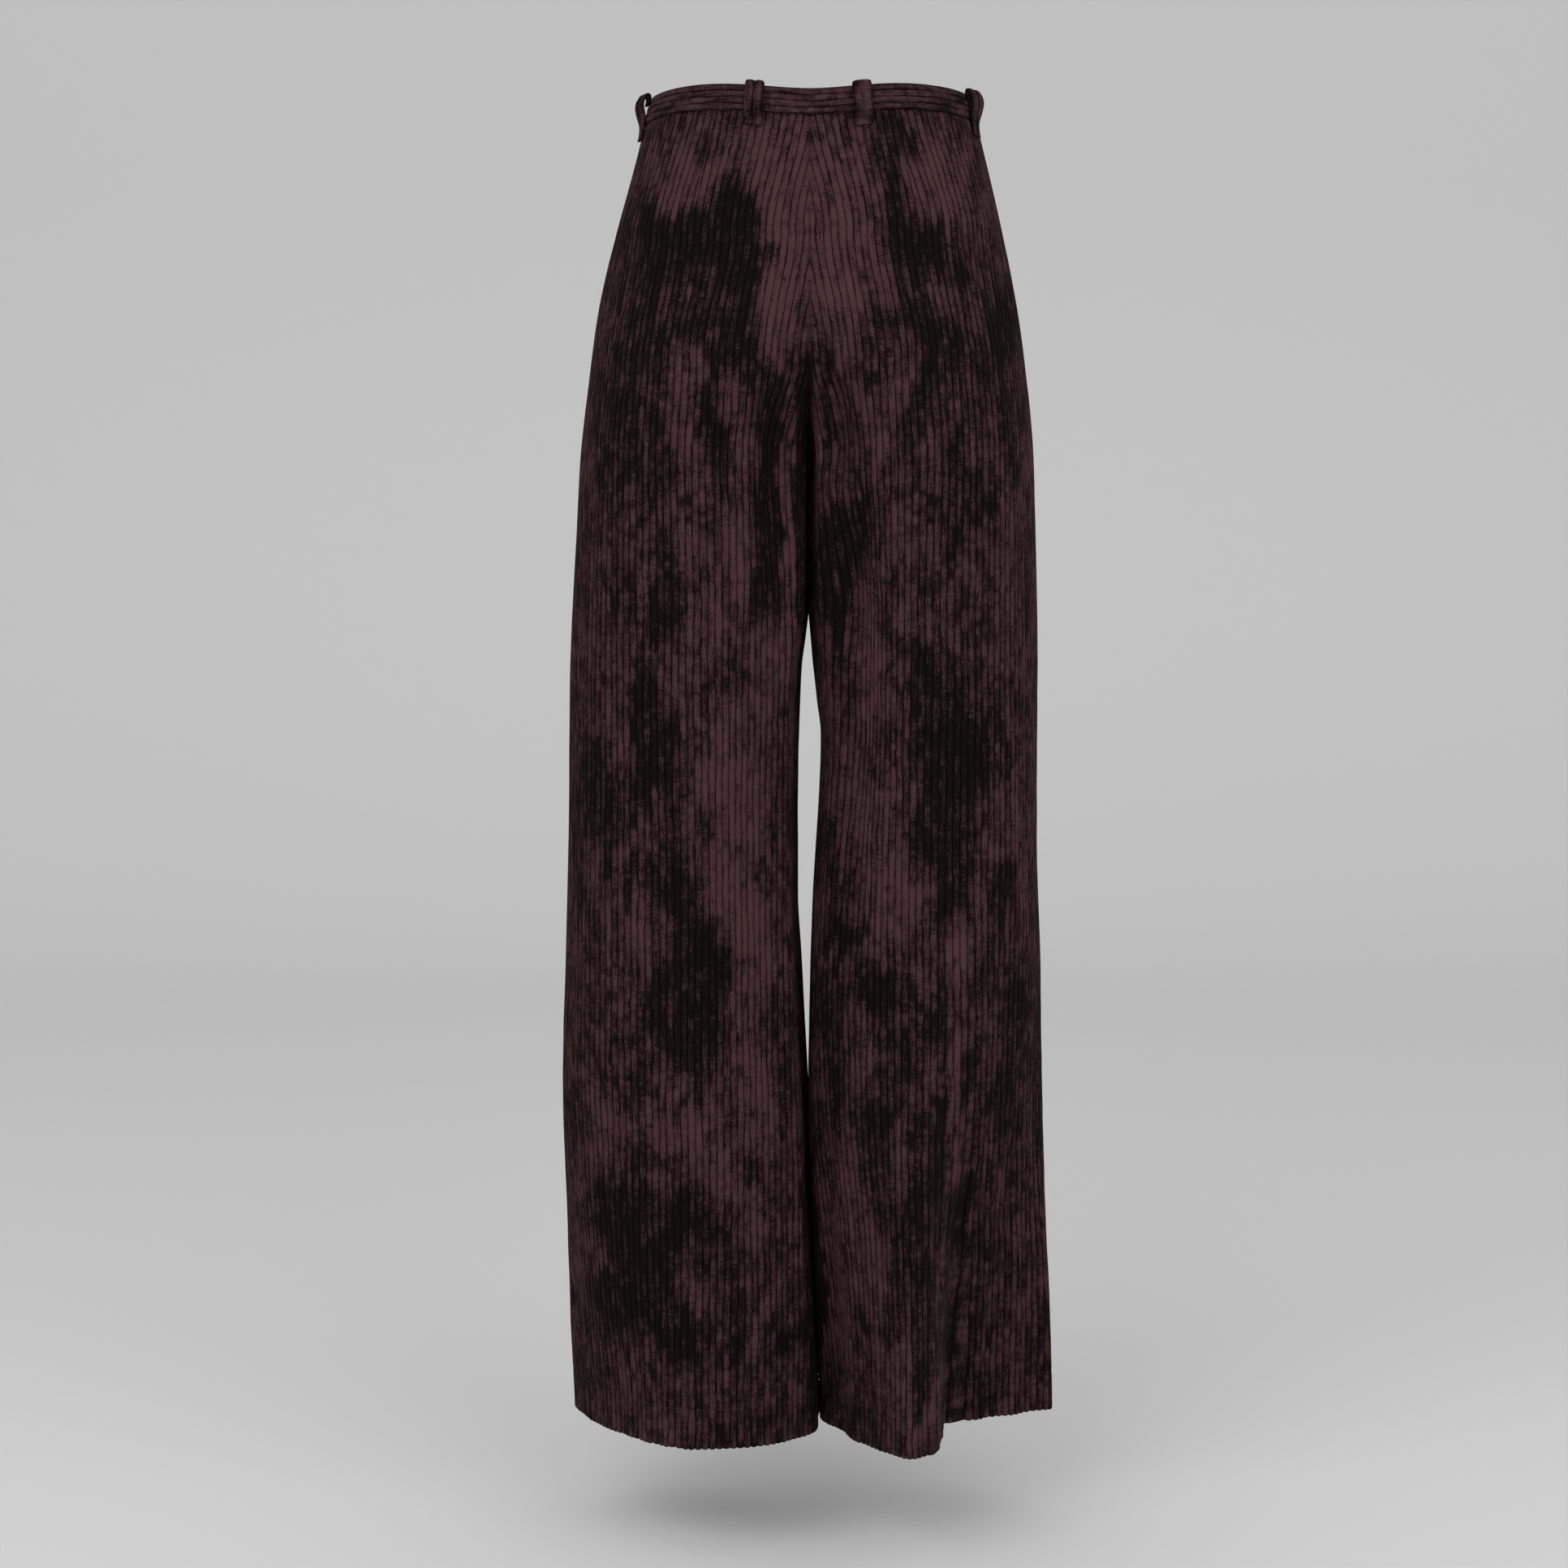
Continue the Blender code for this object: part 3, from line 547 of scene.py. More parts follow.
def corduroy(name, deep, light):
    """Cord cloth: its colour runs from deep to light by how the nap lies and by the painted shade
    and highlight of some nap patches, is darker by painted shade on the flanks of the cords and
    in the grooves, with fine speckle along the cords and a soft sheen."""
    material = bpy.data.materials.new(name)
    material.use_nodes = True
    nodes, links = material.node_tree.nodes, material.node_tree.links
    shader = nodes["Principled BSDF"]

    def node(kind, **values):
        made = nodes.new(kind)
        for key, value in values.items():
            setattr(made, key, value)
        return made

    def math_node(operation, first, second, clamp=False):
        made = node("ShaderNodeMath", operation=operation, use_clamp=clamp)
        for socket, value in zip(made.inputs, (first, second)):
            if isinstance(value, (int, float)):
                socket.default_value = value
            else:
                links.new(value, socket)
        return made.outputs[0]

    cloth = node("ShaderNodeUVMap", uv_map="UVMap").outputs["UV"]
    apart = node("ShaderNodeSeparateXYZ")
    links.new(cloth, apart.inputs[0])
    across, along = apart.outputs[0], apart.outputs[1]
    cord = math_node("FLOOR", math_node("MULTIPLY", across, 1 / CORD_PITCH), 0.0)
    place = node("ShaderNodeCombineXYZ")
    links.new(math_node("MULTIPLY", cord, 7.31), place.inputs[0])
    shifted = math_node("ADD", math_node("MULTIPLY", along, 150.0), math_node("MULTIPLY", cord, 3.73))
    links.new(shifted, place.inputs[1])
    streak = node("ShaderNodeTexNoise", noise_dimensions="2D")
    streak.inputs["Scale"].default_value = 1.0
    streak.inputs["Detail"].default_value = 3.0
    streak.inputs["Roughness"].default_value = 0.62
    links.new(place.outputs[0], streak.inputs["Vector"])
    thread = node("ShaderNodeVectorMath", operation="MULTIPLY")
    links.new(cloth, thread.inputs[0])
    thread.inputs[1].default_value = (620.0, 62.0, 1.0)
    fibre = node("ShaderNodeTexNoise", noise_dimensions="2D")
    fibre.inputs["Scale"].default_value = 1.0
    fibre.inputs["Detail"].default_value = 2.0
    links.new(thread.outputs[0], fibre.inputs["Vector"])
    pile = node("ShaderNodeTexNoise")
    pile.inputs["Scale"].default_value = 900.0
    pile.inputs["Detail"].default_value = 2.0
    links.new(node("ShaderNodeTexCoord").outputs["Object"], pile.inputs["Vector"])

    phase = math_node("FRACT", math_node("MULTIPLY", across, 1 / CORD_PITCH), 0.0)
    off_middle = math_node("MULTIPLY", math_node("ABSOLUTE", math_node("SUBTRACT", phase, 0.5), 0.0), 2.0)
    # Painted shade on the flanks of each cord: the colour level falls by the cube of the distance from
    # the middle of the cord.
    flank_shade = math_node("POWER", off_middle, 3.0)
    # This attribute holds the lie of the nap together with the painted shade and highlight of some of its
    # patches.
    lie_and_painted_light = node("ShaderNodeAttribute", attribute_name="nap_and_painted_light").outputs["Fac"]
    level = math_node("MULTIPLY", lie_and_painted_light, NAP_AND_PAINTED_LIGHT_SHARE)
    level = math_node("SUBTRACT", level, math_node("MULTIPLY", flank_shade, FLANK_SHADE_SHARE))
    streaks = math_node("MULTIPLY", math_node("SUBTRACT", streak.outputs["Fac"], 0.5), STREAK_SHARE)
    flecks = math_node("MULTIPLY", math_node("SUBTRACT", pile.outputs["Fac"], 0.5), FLECK_SHARE)
    fibres = math_node("MULTIPLY", math_node("SUBTRACT", fibre.outputs["Fac"], 0.5), FIBRE_SHARE)
    level = math_node("ADD", level, math_node("ADD", fibres, math_node("ADD", streaks, flecks)))
    level = math_node("ADD", level, NAP_LEVEL)
    smooth = node("ShaderNodeMapRange", interpolation_type="SMOOTHSTEP")
    links.new(level, smooth.inputs["Value"])
    colour = node("ShaderNodeMix", data_type="RGBA")
    colour.inputs["A"].default_value = deep
    colour.inputs["B"].default_value = light
    links.new(smooth.outputs["Result"], colour.inputs["Factor"])
    # Painted shade in the grooves between the cords: the colour falls to 0.42 of itself at the groove,
    # over the outer 30 % of each half cord.
    groove_shade = node("ShaderNodeMapRange", interpolation_type="SMOOTHSTEP")
    groove_shade.inputs["From Min"].default_value = 0.70
    groove_shade.inputs["From Max"].default_value = 1.0
    groove_shade.inputs["To Min"].default_value = 1.0
    groove_shade.inputs["To Max"].default_value = 0.42
    links.new(off_middle, groove_shade.inputs["Value"])
    shaded = node("ShaderNodeVectorMath", operation="SCALE")
    links.new(colour.outputs["Result"], shaded.inputs[0])
    links.new(groove_shade.outputs["Result"], shaded.inputs["Scale"])
    links.new(shaded.outputs[0], shader.inputs["Base Color"])
    shader.inputs["Roughness"].default_value = 0.9
    shader.inputs["Specular IOR Level"].default_value = 0.04
    shader.inputs["Sheen Weight"].default_value = 0.02
    shader.inputs["Sheen Roughness"].default_value = 0.5
    shader.inputs["Sheen Tint"].default_value = (0.60, 0.38, 0.40, 1)
    bump = node("ShaderNodeBump")
    bump.inputs["Strength"].default_value = 0.5
    bump.inputs["Distance"].default_value = 0.0005
    links.new(pile.outputs["Fac"], bump.inputs["Height"])
    links.new(bump.outputs[0], shader.inputs["Normal"])
    return material


def plain(name, colour, roughness, metallic=0.0):
    """One even colour."""
    material = bpy.data.materials.new(name)
    material.use_nodes = True
    shader = material.node_tree.nodes["Principled BSDF"]
    shader.inputs["Base Color"].default_value = (*colour, 1)
    shader.inputs["Roughness"].default_value = roughness
    shader.inputs["Metallic"].default_value = metallic
    return material


def piece_from(name, points, triangles, slots, materials, uv, nap_and_painted_light):
    """One mesh from whole arrays: points, triangles, the material slot of each triangle, and
    the cloth coordinates and the lie of the nap, with its painted shade and highlight, at each point."""
    mesh = bpy.data.meshes.new(name)
    mesh.vertices.add(len(points))
    mesh.vertices.foreach_set("co", np.ascontiguousarray(points, dtype=np.float32).ravel())
    mesh.loops.add(triangles.size)
    mesh.loops.foreach_set("vertex_index", triangles.astype(np.int32).ravel())
    mesh.polygons.add(len(triangles))
    mesh.polygons.foreach_set("loop_start", np.arange(0, triangles.size, 3, dtype=np.int32))
    mesh.polygons.foreach_set("material_index", slots.astype(np.int32))
    for material in materials:
        mesh.materials.append(material)
    mesh.update(calc_edges=True)
    layer = mesh.uv_layers.new(name="UVMap")
    layer.data.foreach_set("uv", uv[triangles.ravel()].astype(np.float32).ravel())
    mesh.attributes.new("nap_and_painted_light", "FLOAT", "POINT").data.foreach_set("value", nap_and_painted_light.astype(np.float32))
    mesh.shade_smooth()
    mesh.validate()
    piece = bpy.data.objects.new(name, mesh)
    bpy.context.scene.collection.objects.link(piece)
    return piece


def even_piece(name, flat, triangles, material):
    """One mesh of one material, with no nap."""
    slots, nap_and_painted_light = np.zeros(len(triangles)), np.zeros(len(flat))
    return piece_from(name, flat, triangles, slots, [material], flat[:, :2], nap_and_painted_light)


def grid_triangles(index):
    """Two triangles for each cell of a grid of point numbers."""
    a, b, c, d = index[:-1, :-1], index[:-1, 1:], index[1:, 1:], index[1:, :-1]
    first = np.stack([a, b, c], axis=-1).reshape(-1, 3)
    second = np.stack([a, c, d], axis=-1).reshape(-1, 3)
    return np.concatenate([first, second])


def real_triangles(triangles):
    """The triangles that have three different points."""
    a, b, c = triangles.T
    return triangles[(a != b) & (b != c) & (c != a)]


def fine_to_coarse(fine, coarse, at):
    """Triangles between an edge of many points and one whose points lie beside some of them: a
    fan to each end of a coarse step, and the triangle between the two fans."""
    middle = (at[:-1] + at[1:]) // 2
    step = np.arange(at[-1])
    near = np.searchsorted(middle, step, side="right")
    fans = np.column_stack([fine[step], fine[step + 1], coarse[near]])
    bridges = np.column_stack([fine[middle], coarse[1:], coarse[:-1]])
    return np.concatenate([fans, bridges])


def fly_lap(z):
    """How far the right front lifts off the left one at height z, and how far it reaches past
    the centre."""
    lift = (CLOTH + SEAM_GAP) * ease((z - FLY_END) / FLY_EASE)
    reach = FLY_OVERLAP * ease((z - FLY_END - FLY_EASE) / FLY_EASE)
    return lift, reach


def panel_heights():
    """Heights of the rows above the hem's turn, closer at the stitch line, the crotch and the
    waist seam."""
    plain_rows = np.arange(HEM + 0.010, -0.016, ROW_STEP)
    special = [
        STITCH_LINE + np.array([-0.0026, -0.0012, 0.0, 0.0012, 0.0026]),
        CROTCH + CROTCH_STEPS,
        CROTCH - np.array([0.0006, 0.0026]),
        -BAND_HEIGHT / 2 - np.array([0.0036, 0.0018, 0.0006, 0.0001]),
    ]
    kept = plain_rows
    for group in special:
        near = (kept > group.min() - 0.0022) & (kept < group.max() + 0.0022)
        kept = kept[~near]
    return np.sort(np.concatenate([kept, *special]))


@functools.lru_cache
def straight_beyond():
    """The cloth between the two straight cords of the right back, at the top of its long fold."""
    grain = read(GRAIN, GRAIN_COLUMNS, "back", TAKEN_UP_TOP * 1000) / 1000
    arcs = section(RIGHT, BACK, TAKEN_UP_TOP, [grain, STRAIGHT_BEYOND])[5]
    return arcs[1] - arcs[0]


def cloth_columns(side, face, z, columns):
    """Where the columns of cloth coordinates lie on the section at height z: their arc lengths,
    held between the panel's edges and at the dart, and the cloth coordinate of each."""
    grain = read(GRAIN, GRAIN_COLUMNS, FACE_NAMES[face], z * 1000) / 1000
    marks, take_in = [grain, grain], 0.0
    if face == BACK:
        dart = dict(zip(DART_COLUMNS, DARTS[side]))
        up = (z * 1000 - dart["point"]) / (dart["top"] - dart["point"])
        marks[1] = (dart["x_point"] + (dart["x_top"] - dart["x_point"]) * up) / 1000
        take_in = dart["take_in"] / 1000 * np.clip(up, 0, 1.2)
    marks += [TAKEN_UP_FROM, TAKEN_UP_TO, STRAIGHT_BEYOND]
    arc, x, y, out_x, out_y, arcs = section(side, face, z, marks)
    arc_grain, arc_dart, arc_from, arc_to, arc_beyond = arcs
    along = np.concatenate([[arc[0] - 0.02], arc, [arc[-1] + 0.02]])
    drawn = along - arc_grain
    if (side, face) == (RIGHT, BACK) and z < TAKEN_UP_TOP:
        taken_up = TAKEN_UP_SHARE * (arc_beyond - arc_grain - straight_beyond())
        drawn = drawn - taken_up * np.clip((along - arc_from) / (arc_to - arc_from), 0, 1)
    reach = fly_lap(z)[1] if (side, face) == (RIGHT, FRONT) else 0.0
    low, high = -reach, arc[-1]
    cord = np.floor(columns / CORD_PITCH + 0.5)
    wander = 0.0006 * noise(21, columns, np.full_like(columns, z), 0.022, 0.035)
    wander += 0.00022 * noise(22, cord, z + CORD_SHIFT * cord, 1, 0.012)
    if (side, face) == (RIGHT, BACK):
        slant = INNER_SLANT * ease((-0.250 - z) / 0.150) * (1 - ease((-0.450 - z) / 0.250))
        wander += slant * np.exp(-(((columns + 0.070) / 0.028) ** 2))
    places = np.interp(columns + wander, drawn, along)
    if take_in:
        places = np.where(places > arc_dart, np.maximum(arc_dart, places - take_in), places)
    places = np.clip(places, low, high)
    past_dart = (places > arc_dart + 1e-9) if take_in else np.zeros(len(places), bool)
    u = np.interp(places, along, drawn) - wander + take_in * past_dart
    from_dart = np.abs(places - arc_dart) if take_in else np.full(len(places), 1.0)
    from_edge = np.minimum(places - low, high - places)
    line = [np.interp(places, arc, v) for v in (x, y, out_x, out_y)]
    line[0] = line[0] + np.minimum(places, 0)
    if z >= CROTCH:
        line[2] = line[2] * (1 - np.exp(-((np.maximum(places, 0) / 0.004) ** 2)))
    return places, u, from_edge, from_dart, take_in, line


def cloth_points(side, z, line, offset, drop=0.0):
    """Points off the section's line by offset along its outward normal, and down by drop."""
    x, y, out_x, out_y = line
    rise = waist_rise(side * x, y, z)
    plan_x, plan_y = side * (x + offset * out_x), y + offset * out_y
    plan_x = plan_x + cleft_sway(plan_x, plan_y, z)
    return np.column_stack([plan_x, plan_y, z + rise - drop])


def outer_relief(u, z, from_edge, from_dart, take_in, turn):
    """Relief of the right side of the cloth at height z: the cords, a little uneven along their
    length, less a rounded valley at the seams and the dart, and a dent at the hem's stitches."""
    cord = np.floor(u / CORD_PITCH)
    uneven = 1 + CORD_UNEVEN * noise(5, cord, z + CORD_SHIFT * cord, 1, 0.03)
    relief = CORD_BASE + CORD_HEIGHT * cord_relief(u) * uneven
    outside = turn == 0
    relief -= SEAM_DEPTH * np.exp(-((from_edge / SEAM_HALF_WIDTH) ** 2)) * (0.3 + 0.7 * outside)
    sewn = min(1, take_in / 0.002)
    relief -= 0.8 * SEAM_DEPTH * np.exp(-((from_dart / SEAM_HALF_WIDTH) ** 2)) * sewn
    relief -= STITCH_DENT * math.exp(-(((z - STITCH_LINE) / 0.0012) ** 2)) * outside
    return relief


def lap_lift(side, face, z, places):
    """How far a panel lifts off its section: only the right front does, where it laps."""
    if (side, face) != (RIGHT, FRONT):
        return np.zeros_like(places)
    return fly_lap(z)[0] * (1 - ease((places - FLY_FLAT) / FLY_FADE))


def numbered(rows, count):
    """Point numbers for rows of places where equal neighbours are one point, from count on, and
    which places are new points."""
    new = np.column_stack([np.ones(len(rows), bool), np.diff(rows, axis=1) > 1e-7])
    return count + np.cumsum(new.ravel()).reshape(new.shape) - 1, new


def panel_grid(side, face, heights, turns, columns, inner, count):
    """The points of a panel at these heights and columns, their cloth coordinates, and their
    numbers. The right side lies off the middle of the hem's fold by the thickness and the
    relief, at an angle that turns from inside to outside; the wrong side is plain."""
    rows, all_places, all_u = [], [], []
    for z, turn in zip(heights, turns):
        places, u, from_edge, from_dart, take_in, line = cloth_columns(side, face, z, columns)
        away = CLOTH + outer_relief(u, z, from_edge, from_dart, take_in, turn)
        away = np.zeros_like(u) if inner else away
        tuck = TUCK * math.exp(-(((z + BAND_HEIGHT / 2) / TUCK_HEIGHT) ** 2))
        offset = lap_lift(side, face, z, places) - tuck - CLOTH + away * math.cos(turn)
        rows.append(cloth_points(side, z, line, offset, away * math.sin(turn)))
        all_places.append(places)
        all_u.append(u)
    index, new = numbered(np.array(all_places), count)
    cloth = np.stack([np.array(all_u), np.broadcast_to(heights[:, None], index.shape)], axis=-1)
    return np.array(rows)[new], cloth[new], index


def edge_closure(outer_edge, inner_edge, folded):
    """The cut edge of a panel: a strip between its two sides, and a fan over the hem's fold."""
    strip = grid_triangles(np.column_stack([inner_edge, outer_edge]))
    apex = np.full(len(folded) - 1, inner_edge[0])
    return np.concatenate([strip, np.column_stack([apex, folded[:-1], folded[1:]])])


def make_panel(side, face, materials):
    """One leg panel from waist to hem, a closed shell. Its right side starts inside the turned
    hem and runs down, round the fold and up the outside."""
    above = panel_heights()
    turned = np.arange(HEM_TURN, 0.006, -ROW_STEP) + HEM
    angles = np.radians([180, 150, 120, 90, 60, 30, 0])
    heights = np.concatenate([turned, np.full(len(angles), HEM + CLOTH), above])
    turns = np.concatenate([np.full(len(turned), math.pi), angles, np.zeros(len(above))])
    wrong = above[above > HEM + HEM_TURN + 0.0005]
    lowest = len(heights) - len(wrong)

    per = len(CORD_PHASES)
    cords = np.arange(-CORDS_EACH_WAY, CORDS_EACH_WAY + 1)
    columns = ((cords[:, None] + CORD_PHASES) * CORD_PITCH).ravel()[: 1 - per]
    in_fold = (columns > TAKEN_UP_CLOTH[0]) & (columns < TAKEN_UP_CLOTH[1])
    in_fold &= (side, face) == (RIGHT, BACK)
    inner_at = np.flatnonzero((np.arange(len(columns)) % per == 0) | in_fold)
    points, cloth, index = panel_grid(side, face, heights, turns, columns, False, 0)
    level = np.zeros(len(wrong))
    below = panel_grid(side, face, wrong, level, columns[inner_at], True, len(points))
    inner_points, inner_cloth, inner_index = below

    groups = [
        grid_triangles(index),
        grid_triangles(inner_index)[:, ::-1],
        fine_to_coarse(index[-1], inner_index[-1], inner_at),
        fine_to_coarse(index[0], inner_index[0], inner_at)[:, ::-1],
        edge_closure(index[lowest:, 0], inner_index[:, 0], index[: lowest + 1, 0]),
        edge_closure(index[lowest:, -1], inner_index[:, -1], index[: lowest + 1, -1])[:, ::-1],
    ]
    groups = [real_triangles(group) for group in groups]
    slots = np.repeat([0, 1, 0, 0, 0, 0], [len(group) for group in groups])
    triangles = np.concatenate(groups)
    if side == face:
        triangles = triangles[:, ::-1]
    points = np.concatenate([points, inner_points])
    cloth = np.concatenate([cloth, inner_cloth])
    # The nap at each point, with the painted shade and highlight of some patches of the nap table.
    nap_and_painted_light = nap_and_painted_light_at(face, points[:, 0], points[:, 2], cloth[:, 0])
    name = f"{FACE_NAMES[face]}_{SIDE_NAMES[side]}_cloth"
    return piece_from(name, points, triangles, slots, materials, cloth, nap_and_painted_light)


def waist_surface():
    """The cloth's surface near the waist, as x, y and plan normal at levels of height and at
    even shares of the way round, from the centre back by +X and -X back to it."""
    levels, shares = [], np.linspace(0, 1, WAIST_SHARES + 1)
    for z in WAIST_LEVELS:
        lines = []
        for side, face in ((RIGHT, BACK), (RIGHT, FRONT), (LEFT, FRONT), (LEFT, BACK)):
            x, y, out_x, out_y = section(side, face, z)[1:5]
            line = np.column_stack([side * x, y, side * out_x, out_y])
            lines.append(line if side == -face else line[::-1])
        line = np.concatenate([*lines, lines[0][:1]])
        arc = np.concatenate([[0], np.cumsum(np.hypot(*np.diff(line[:, :2], axis=0).T))])
        levels.append([np.interp(shares * arc[-1], arc, v) for v in line.T])
    return np.array(levels)


def waist_points(surface, z, share, offset):
    """Points at heights z and shares of the way round the waist, offset outwards: the levels
    and shares of the waist surface read in straight lines between its values."""
    z, share, offset = np.broadcast_arrays(z, share, offset)
    row = (z - WAIST_LEVELS[0]) / (WAIST_LEVELS[1] - WAIST_LEVELS[0])
    row = np.clip(row, 0, len(WAIST_LEVELS) - 1.001)
    column = (share % 1) * WAIST_SHARES
    i, j = np.floor(row).astype(int), np.floor(column).astype(int)
    s, t = row - i, column - j
    near = surface[i, :, j] * (1 - t)[..., None] + surface[i, :, j + 1] * t[..., None]
    far = surface[i + 1, :, j] * (1 - t)[..., None] + surface[i + 1, :, j + 1] * t[..., None]
    x, y, out_x, out_y = np.moveaxis(near * (1 - s)[..., None] + far * s[..., None], -1, 0)
    return np.stack([x + offset * out_x, y + offset * out_y, z + waist_rise(x, y, z)], axis=-1)


def tube(name, points, cloth, nap_and_painted_light, material):
    """A closed piece from a grid of points: rows along its length, each row a closed outline,
    and a fan over the first and the last row."""
    rows, around = points.shape[:2]
    index = np.arange(rows * around).reshape(rows, around)
    side = grid_triangles(np.column_stack([index, index[:, :1]]))
    first, last = index[0], index[-1]
    start = np.column_stack([np.full(around - 2, first[0]), first[2:], first[1:-1]])
    end = np.column_stack([np.full(around - 2, last[0]), last[1:-1], last[2:]])
    triangles = np.concatenate([side, start, end])
    flat = points.reshape(-1, 3)
    a, b, c = (flat[triangles[:, k]] for k in range(3))
    if np.einsum("ij,ij->i", a, np.cross(b, c)).sum() < 0:
        triangles = triangles[:, ::-1]
    slots = np.zeros(len(triangles))
    return piece_from(name, flat, triangles, slots, [material], cloth.reshape(-1, 2), nap_and_painted_light.ravel())


def make_waistband(surface, material):
    """One strip round the waist, its cords running along it. Its outline is the row of cords,
    a rolled edge, the flat wrong side and the other edge. It starts under the right front, goes
    round by the left side and the back, and its end laps over its start. Its right side rises
    to the lap over a ramp, and its wrong side stays on the cloth until it meets its start."""
    cord = BAND_HEIGHT / BAND_CORDS
    share = (np.arange(BAND_CORDS)[:, None] + CORD_PHASES).ravel()
    height = np.concatenate([share * cord - BAND_HEIGHT / 2, [BAND_HEIGHT / 2]])
    relief = BAND_BASE + BAND_RELIEF * cord_relief(np.append(share, BAND_CORDS) * CORD_PITCH)
    edge_height = np.array([9.45, 9.15, 8.60, 0.0, -8.60, -9.15, -9.40, -9.50, -10.20, -10.25]) / 1000
    edge_off = np.array([-1.9, -3.4, -4.0, -4.0, -4.0, -3.4, -2.4, -1.45, -1.40, -0.98]) / 1000
    height = np.roll(np.concatenate([height, edge_height]), 4)
    off = np.roll(np.concatenate([relief, edge_off]), 4)
    is_cord = np.roll(np.repeat([1.0, 0.0], [len(relief), len(edge_off)]), 4)
    length = WAIST_LENGTHS[0] + WAIST_LENGTHS[1]
    places = np.linspace(WAIST_LENGTHS[0] - BAND_UNDER, length + WAIST_LENGTHS[0] + BAND_OVER, BAND_STEPS)
    past_start = places - length - WAIST_LENGTHS[0] + BAND_UNDER
    lift = ease(past_start / BAND_RAMP + 1)[:, None]
    wrong_side_lift = ease(past_start / BAND_STEP_UP + 1)[:, None]
    lift = np.where(off < -0.0030, wrong_side_lift, lift)
    along, across = np.meshgrid(places, height, indexing="ij")
    wave = 0.00022 * noise(31, along, across, 0.020, 0.004) * is_cord
    offset = off + wave + BAND_PROUD + (BAND_THICKNESS + SEAM_GAP) * lift
    points = waist_points(surface, across, along / length, offset)
    cloth = np.stack([(across / cord + BAND_CORDS / 2) * CORD_PITCH, along], axis=-1)
    nap_and_painted_light = 0.60 * noise(32, along, across, 0.022, 0.006)
    nap_and_painted_light = nap_and_painted_light + 0.45 * noise(33, along, across, 0.007, 0.003) + 0.20
    return tube("waistband_cloth", points, cloth, nap_and_painted_light, material)


def smooth_path(values, steps):
    """A row of values made finer: each piece is the cubic that passes through its two ends with
    half the difference of their neighbours as slopes."""
    place = np.linspace(0, len(values) - 1, steps)
    i = np.clip(np.floor(place).astype(int), 0, len(values) - 2)
    t = place - i
    slope = np.gradient(values)
    start = (1 + 2 * t) * (1 - t) ** 2 * values[i] + t * (1 - t) ** 2 * slope[i]
    return start + t**2 * (3 - 2 * t) * values[i + 1] - t**2 * (1 - t) * slope[i + 1]


def make_belt_loop(name, place, cords, surface, material):
    """A strap over the band. Its outline is a flat rounded bar with the cords of the strap on
    its outer side, carried along the middle line and turned with it. Where a side loop is free
    of the cloth, it is also turned about the upright."""
    is_side = "side" in name
    path = dict(zip(LOOP_PATH_COLUMNS, (SIDE_LOOP_PATH if is_side else LOOP_PATH).T / 1000))
    height = smooth_path(path["height"], LOOP_STEPS)
    stand_off = smooth_path(path["stand_off"], LOOP_STEPS)
    along_height, along_off = np.gradient(height), np.gradient(stand_off)
    step = np.hypot(along_height, along_off)
    length = np.cumsum(step)
    half = LOOP_THICKNESS / 2
    edge = np.radians([90, 60, 30, 0, -30, -60])
    flat = np.linspace(-1, 1, 17)
    straight = LOOP_WIDTH / 2 - half
    bulge, level = half * np.cos(edge[1:]), half * np.sin(edge[1:])
    across = np.concatenate([flat * straight, straight + bulge, -flat * straight, -straight - bulge])
    thick = np.concatenate([np.full_like(flat, half), level, np.full_like(flat, -half), -level])
    cord_u = (across / LOOP_WIDTH + 0.5) * cords * CORD_PITCH
    thick = thick + (thick > 0) * (0.00085 * cord_relief(cord_u) - 0.00065)
    turn_height, turn_off = along_off / step, -along_height / step
    free = ease((stand_off - 0.0015) / 0.004)
    turned = is_side * math.tan(SIDE_LOOP_TURN) * math.copysign(1, place) * free[:, None] * across
    rows = waist_points(
        surface,
        height[:, None] + thick * turn_height[:, None],
        (place + across) / (WAIST_LENGTHS[0] + WAIST_LENGTHS[1]),
        stand_off[:, None] + thick * turn_off[:, None] + turned,
    )
    cloth = np.stack(np.broadcast_arrays(cord_u, length[:, None] + place), axis=-1)
    nap_and_painted_light = 0.7 * noise(41, cloth[..., 0], cloth[..., 1], 0.006, 0.010) + 0.1
    return tube(name + "_cloth", rows, cloth, nap_and_painted_light, material)


def boxes(centres, along, across, up, sizes):
    """Small blocks, as points and triangles: the corners of each are its centre and half its
    sizes along its three directions."""
    corner = np.array([(i, j, k) for i in (-1, 1) for j in (-1, 1) for k in (-1, 1)]) / 2
    frame_rows = np.stack([along, across, up], axis=1) * np.asarray(sizes)[..., :, None]
    points = centres[:, None] + np.einsum("cf,nfx->ncx", corner, frame_rows)
    cell = np.array([
        (0, 1, 3), (0, 3, 2), (4, 6, 7), (4, 7, 5), (0, 4, 5), (0, 5, 1),
        (2, 3, 7), (2, 7, 6), (0, 2, 6), (0, 6, 4), (1, 5, 7), (1, 7, 3),
    ])
    triangles = (np.arange(len(centres))[:, None, None] * 8 + cell).reshape(-1, 3)
    flat = points.reshape(-1, 3)
    a, b, c = (flat[triangles[:12, k]] - flat[0] for k in range(3))
    if np.einsum("ij,ij->i", a, np.cross(b, c)).sum() < 0:
        triangles = triangles[:, ::-1]
    return flat, triangles


def unit(vectors):
    """Each vector at length 1."""
    return vectors / np.linalg.norm(vectors, axis=-1, keepdims=True)


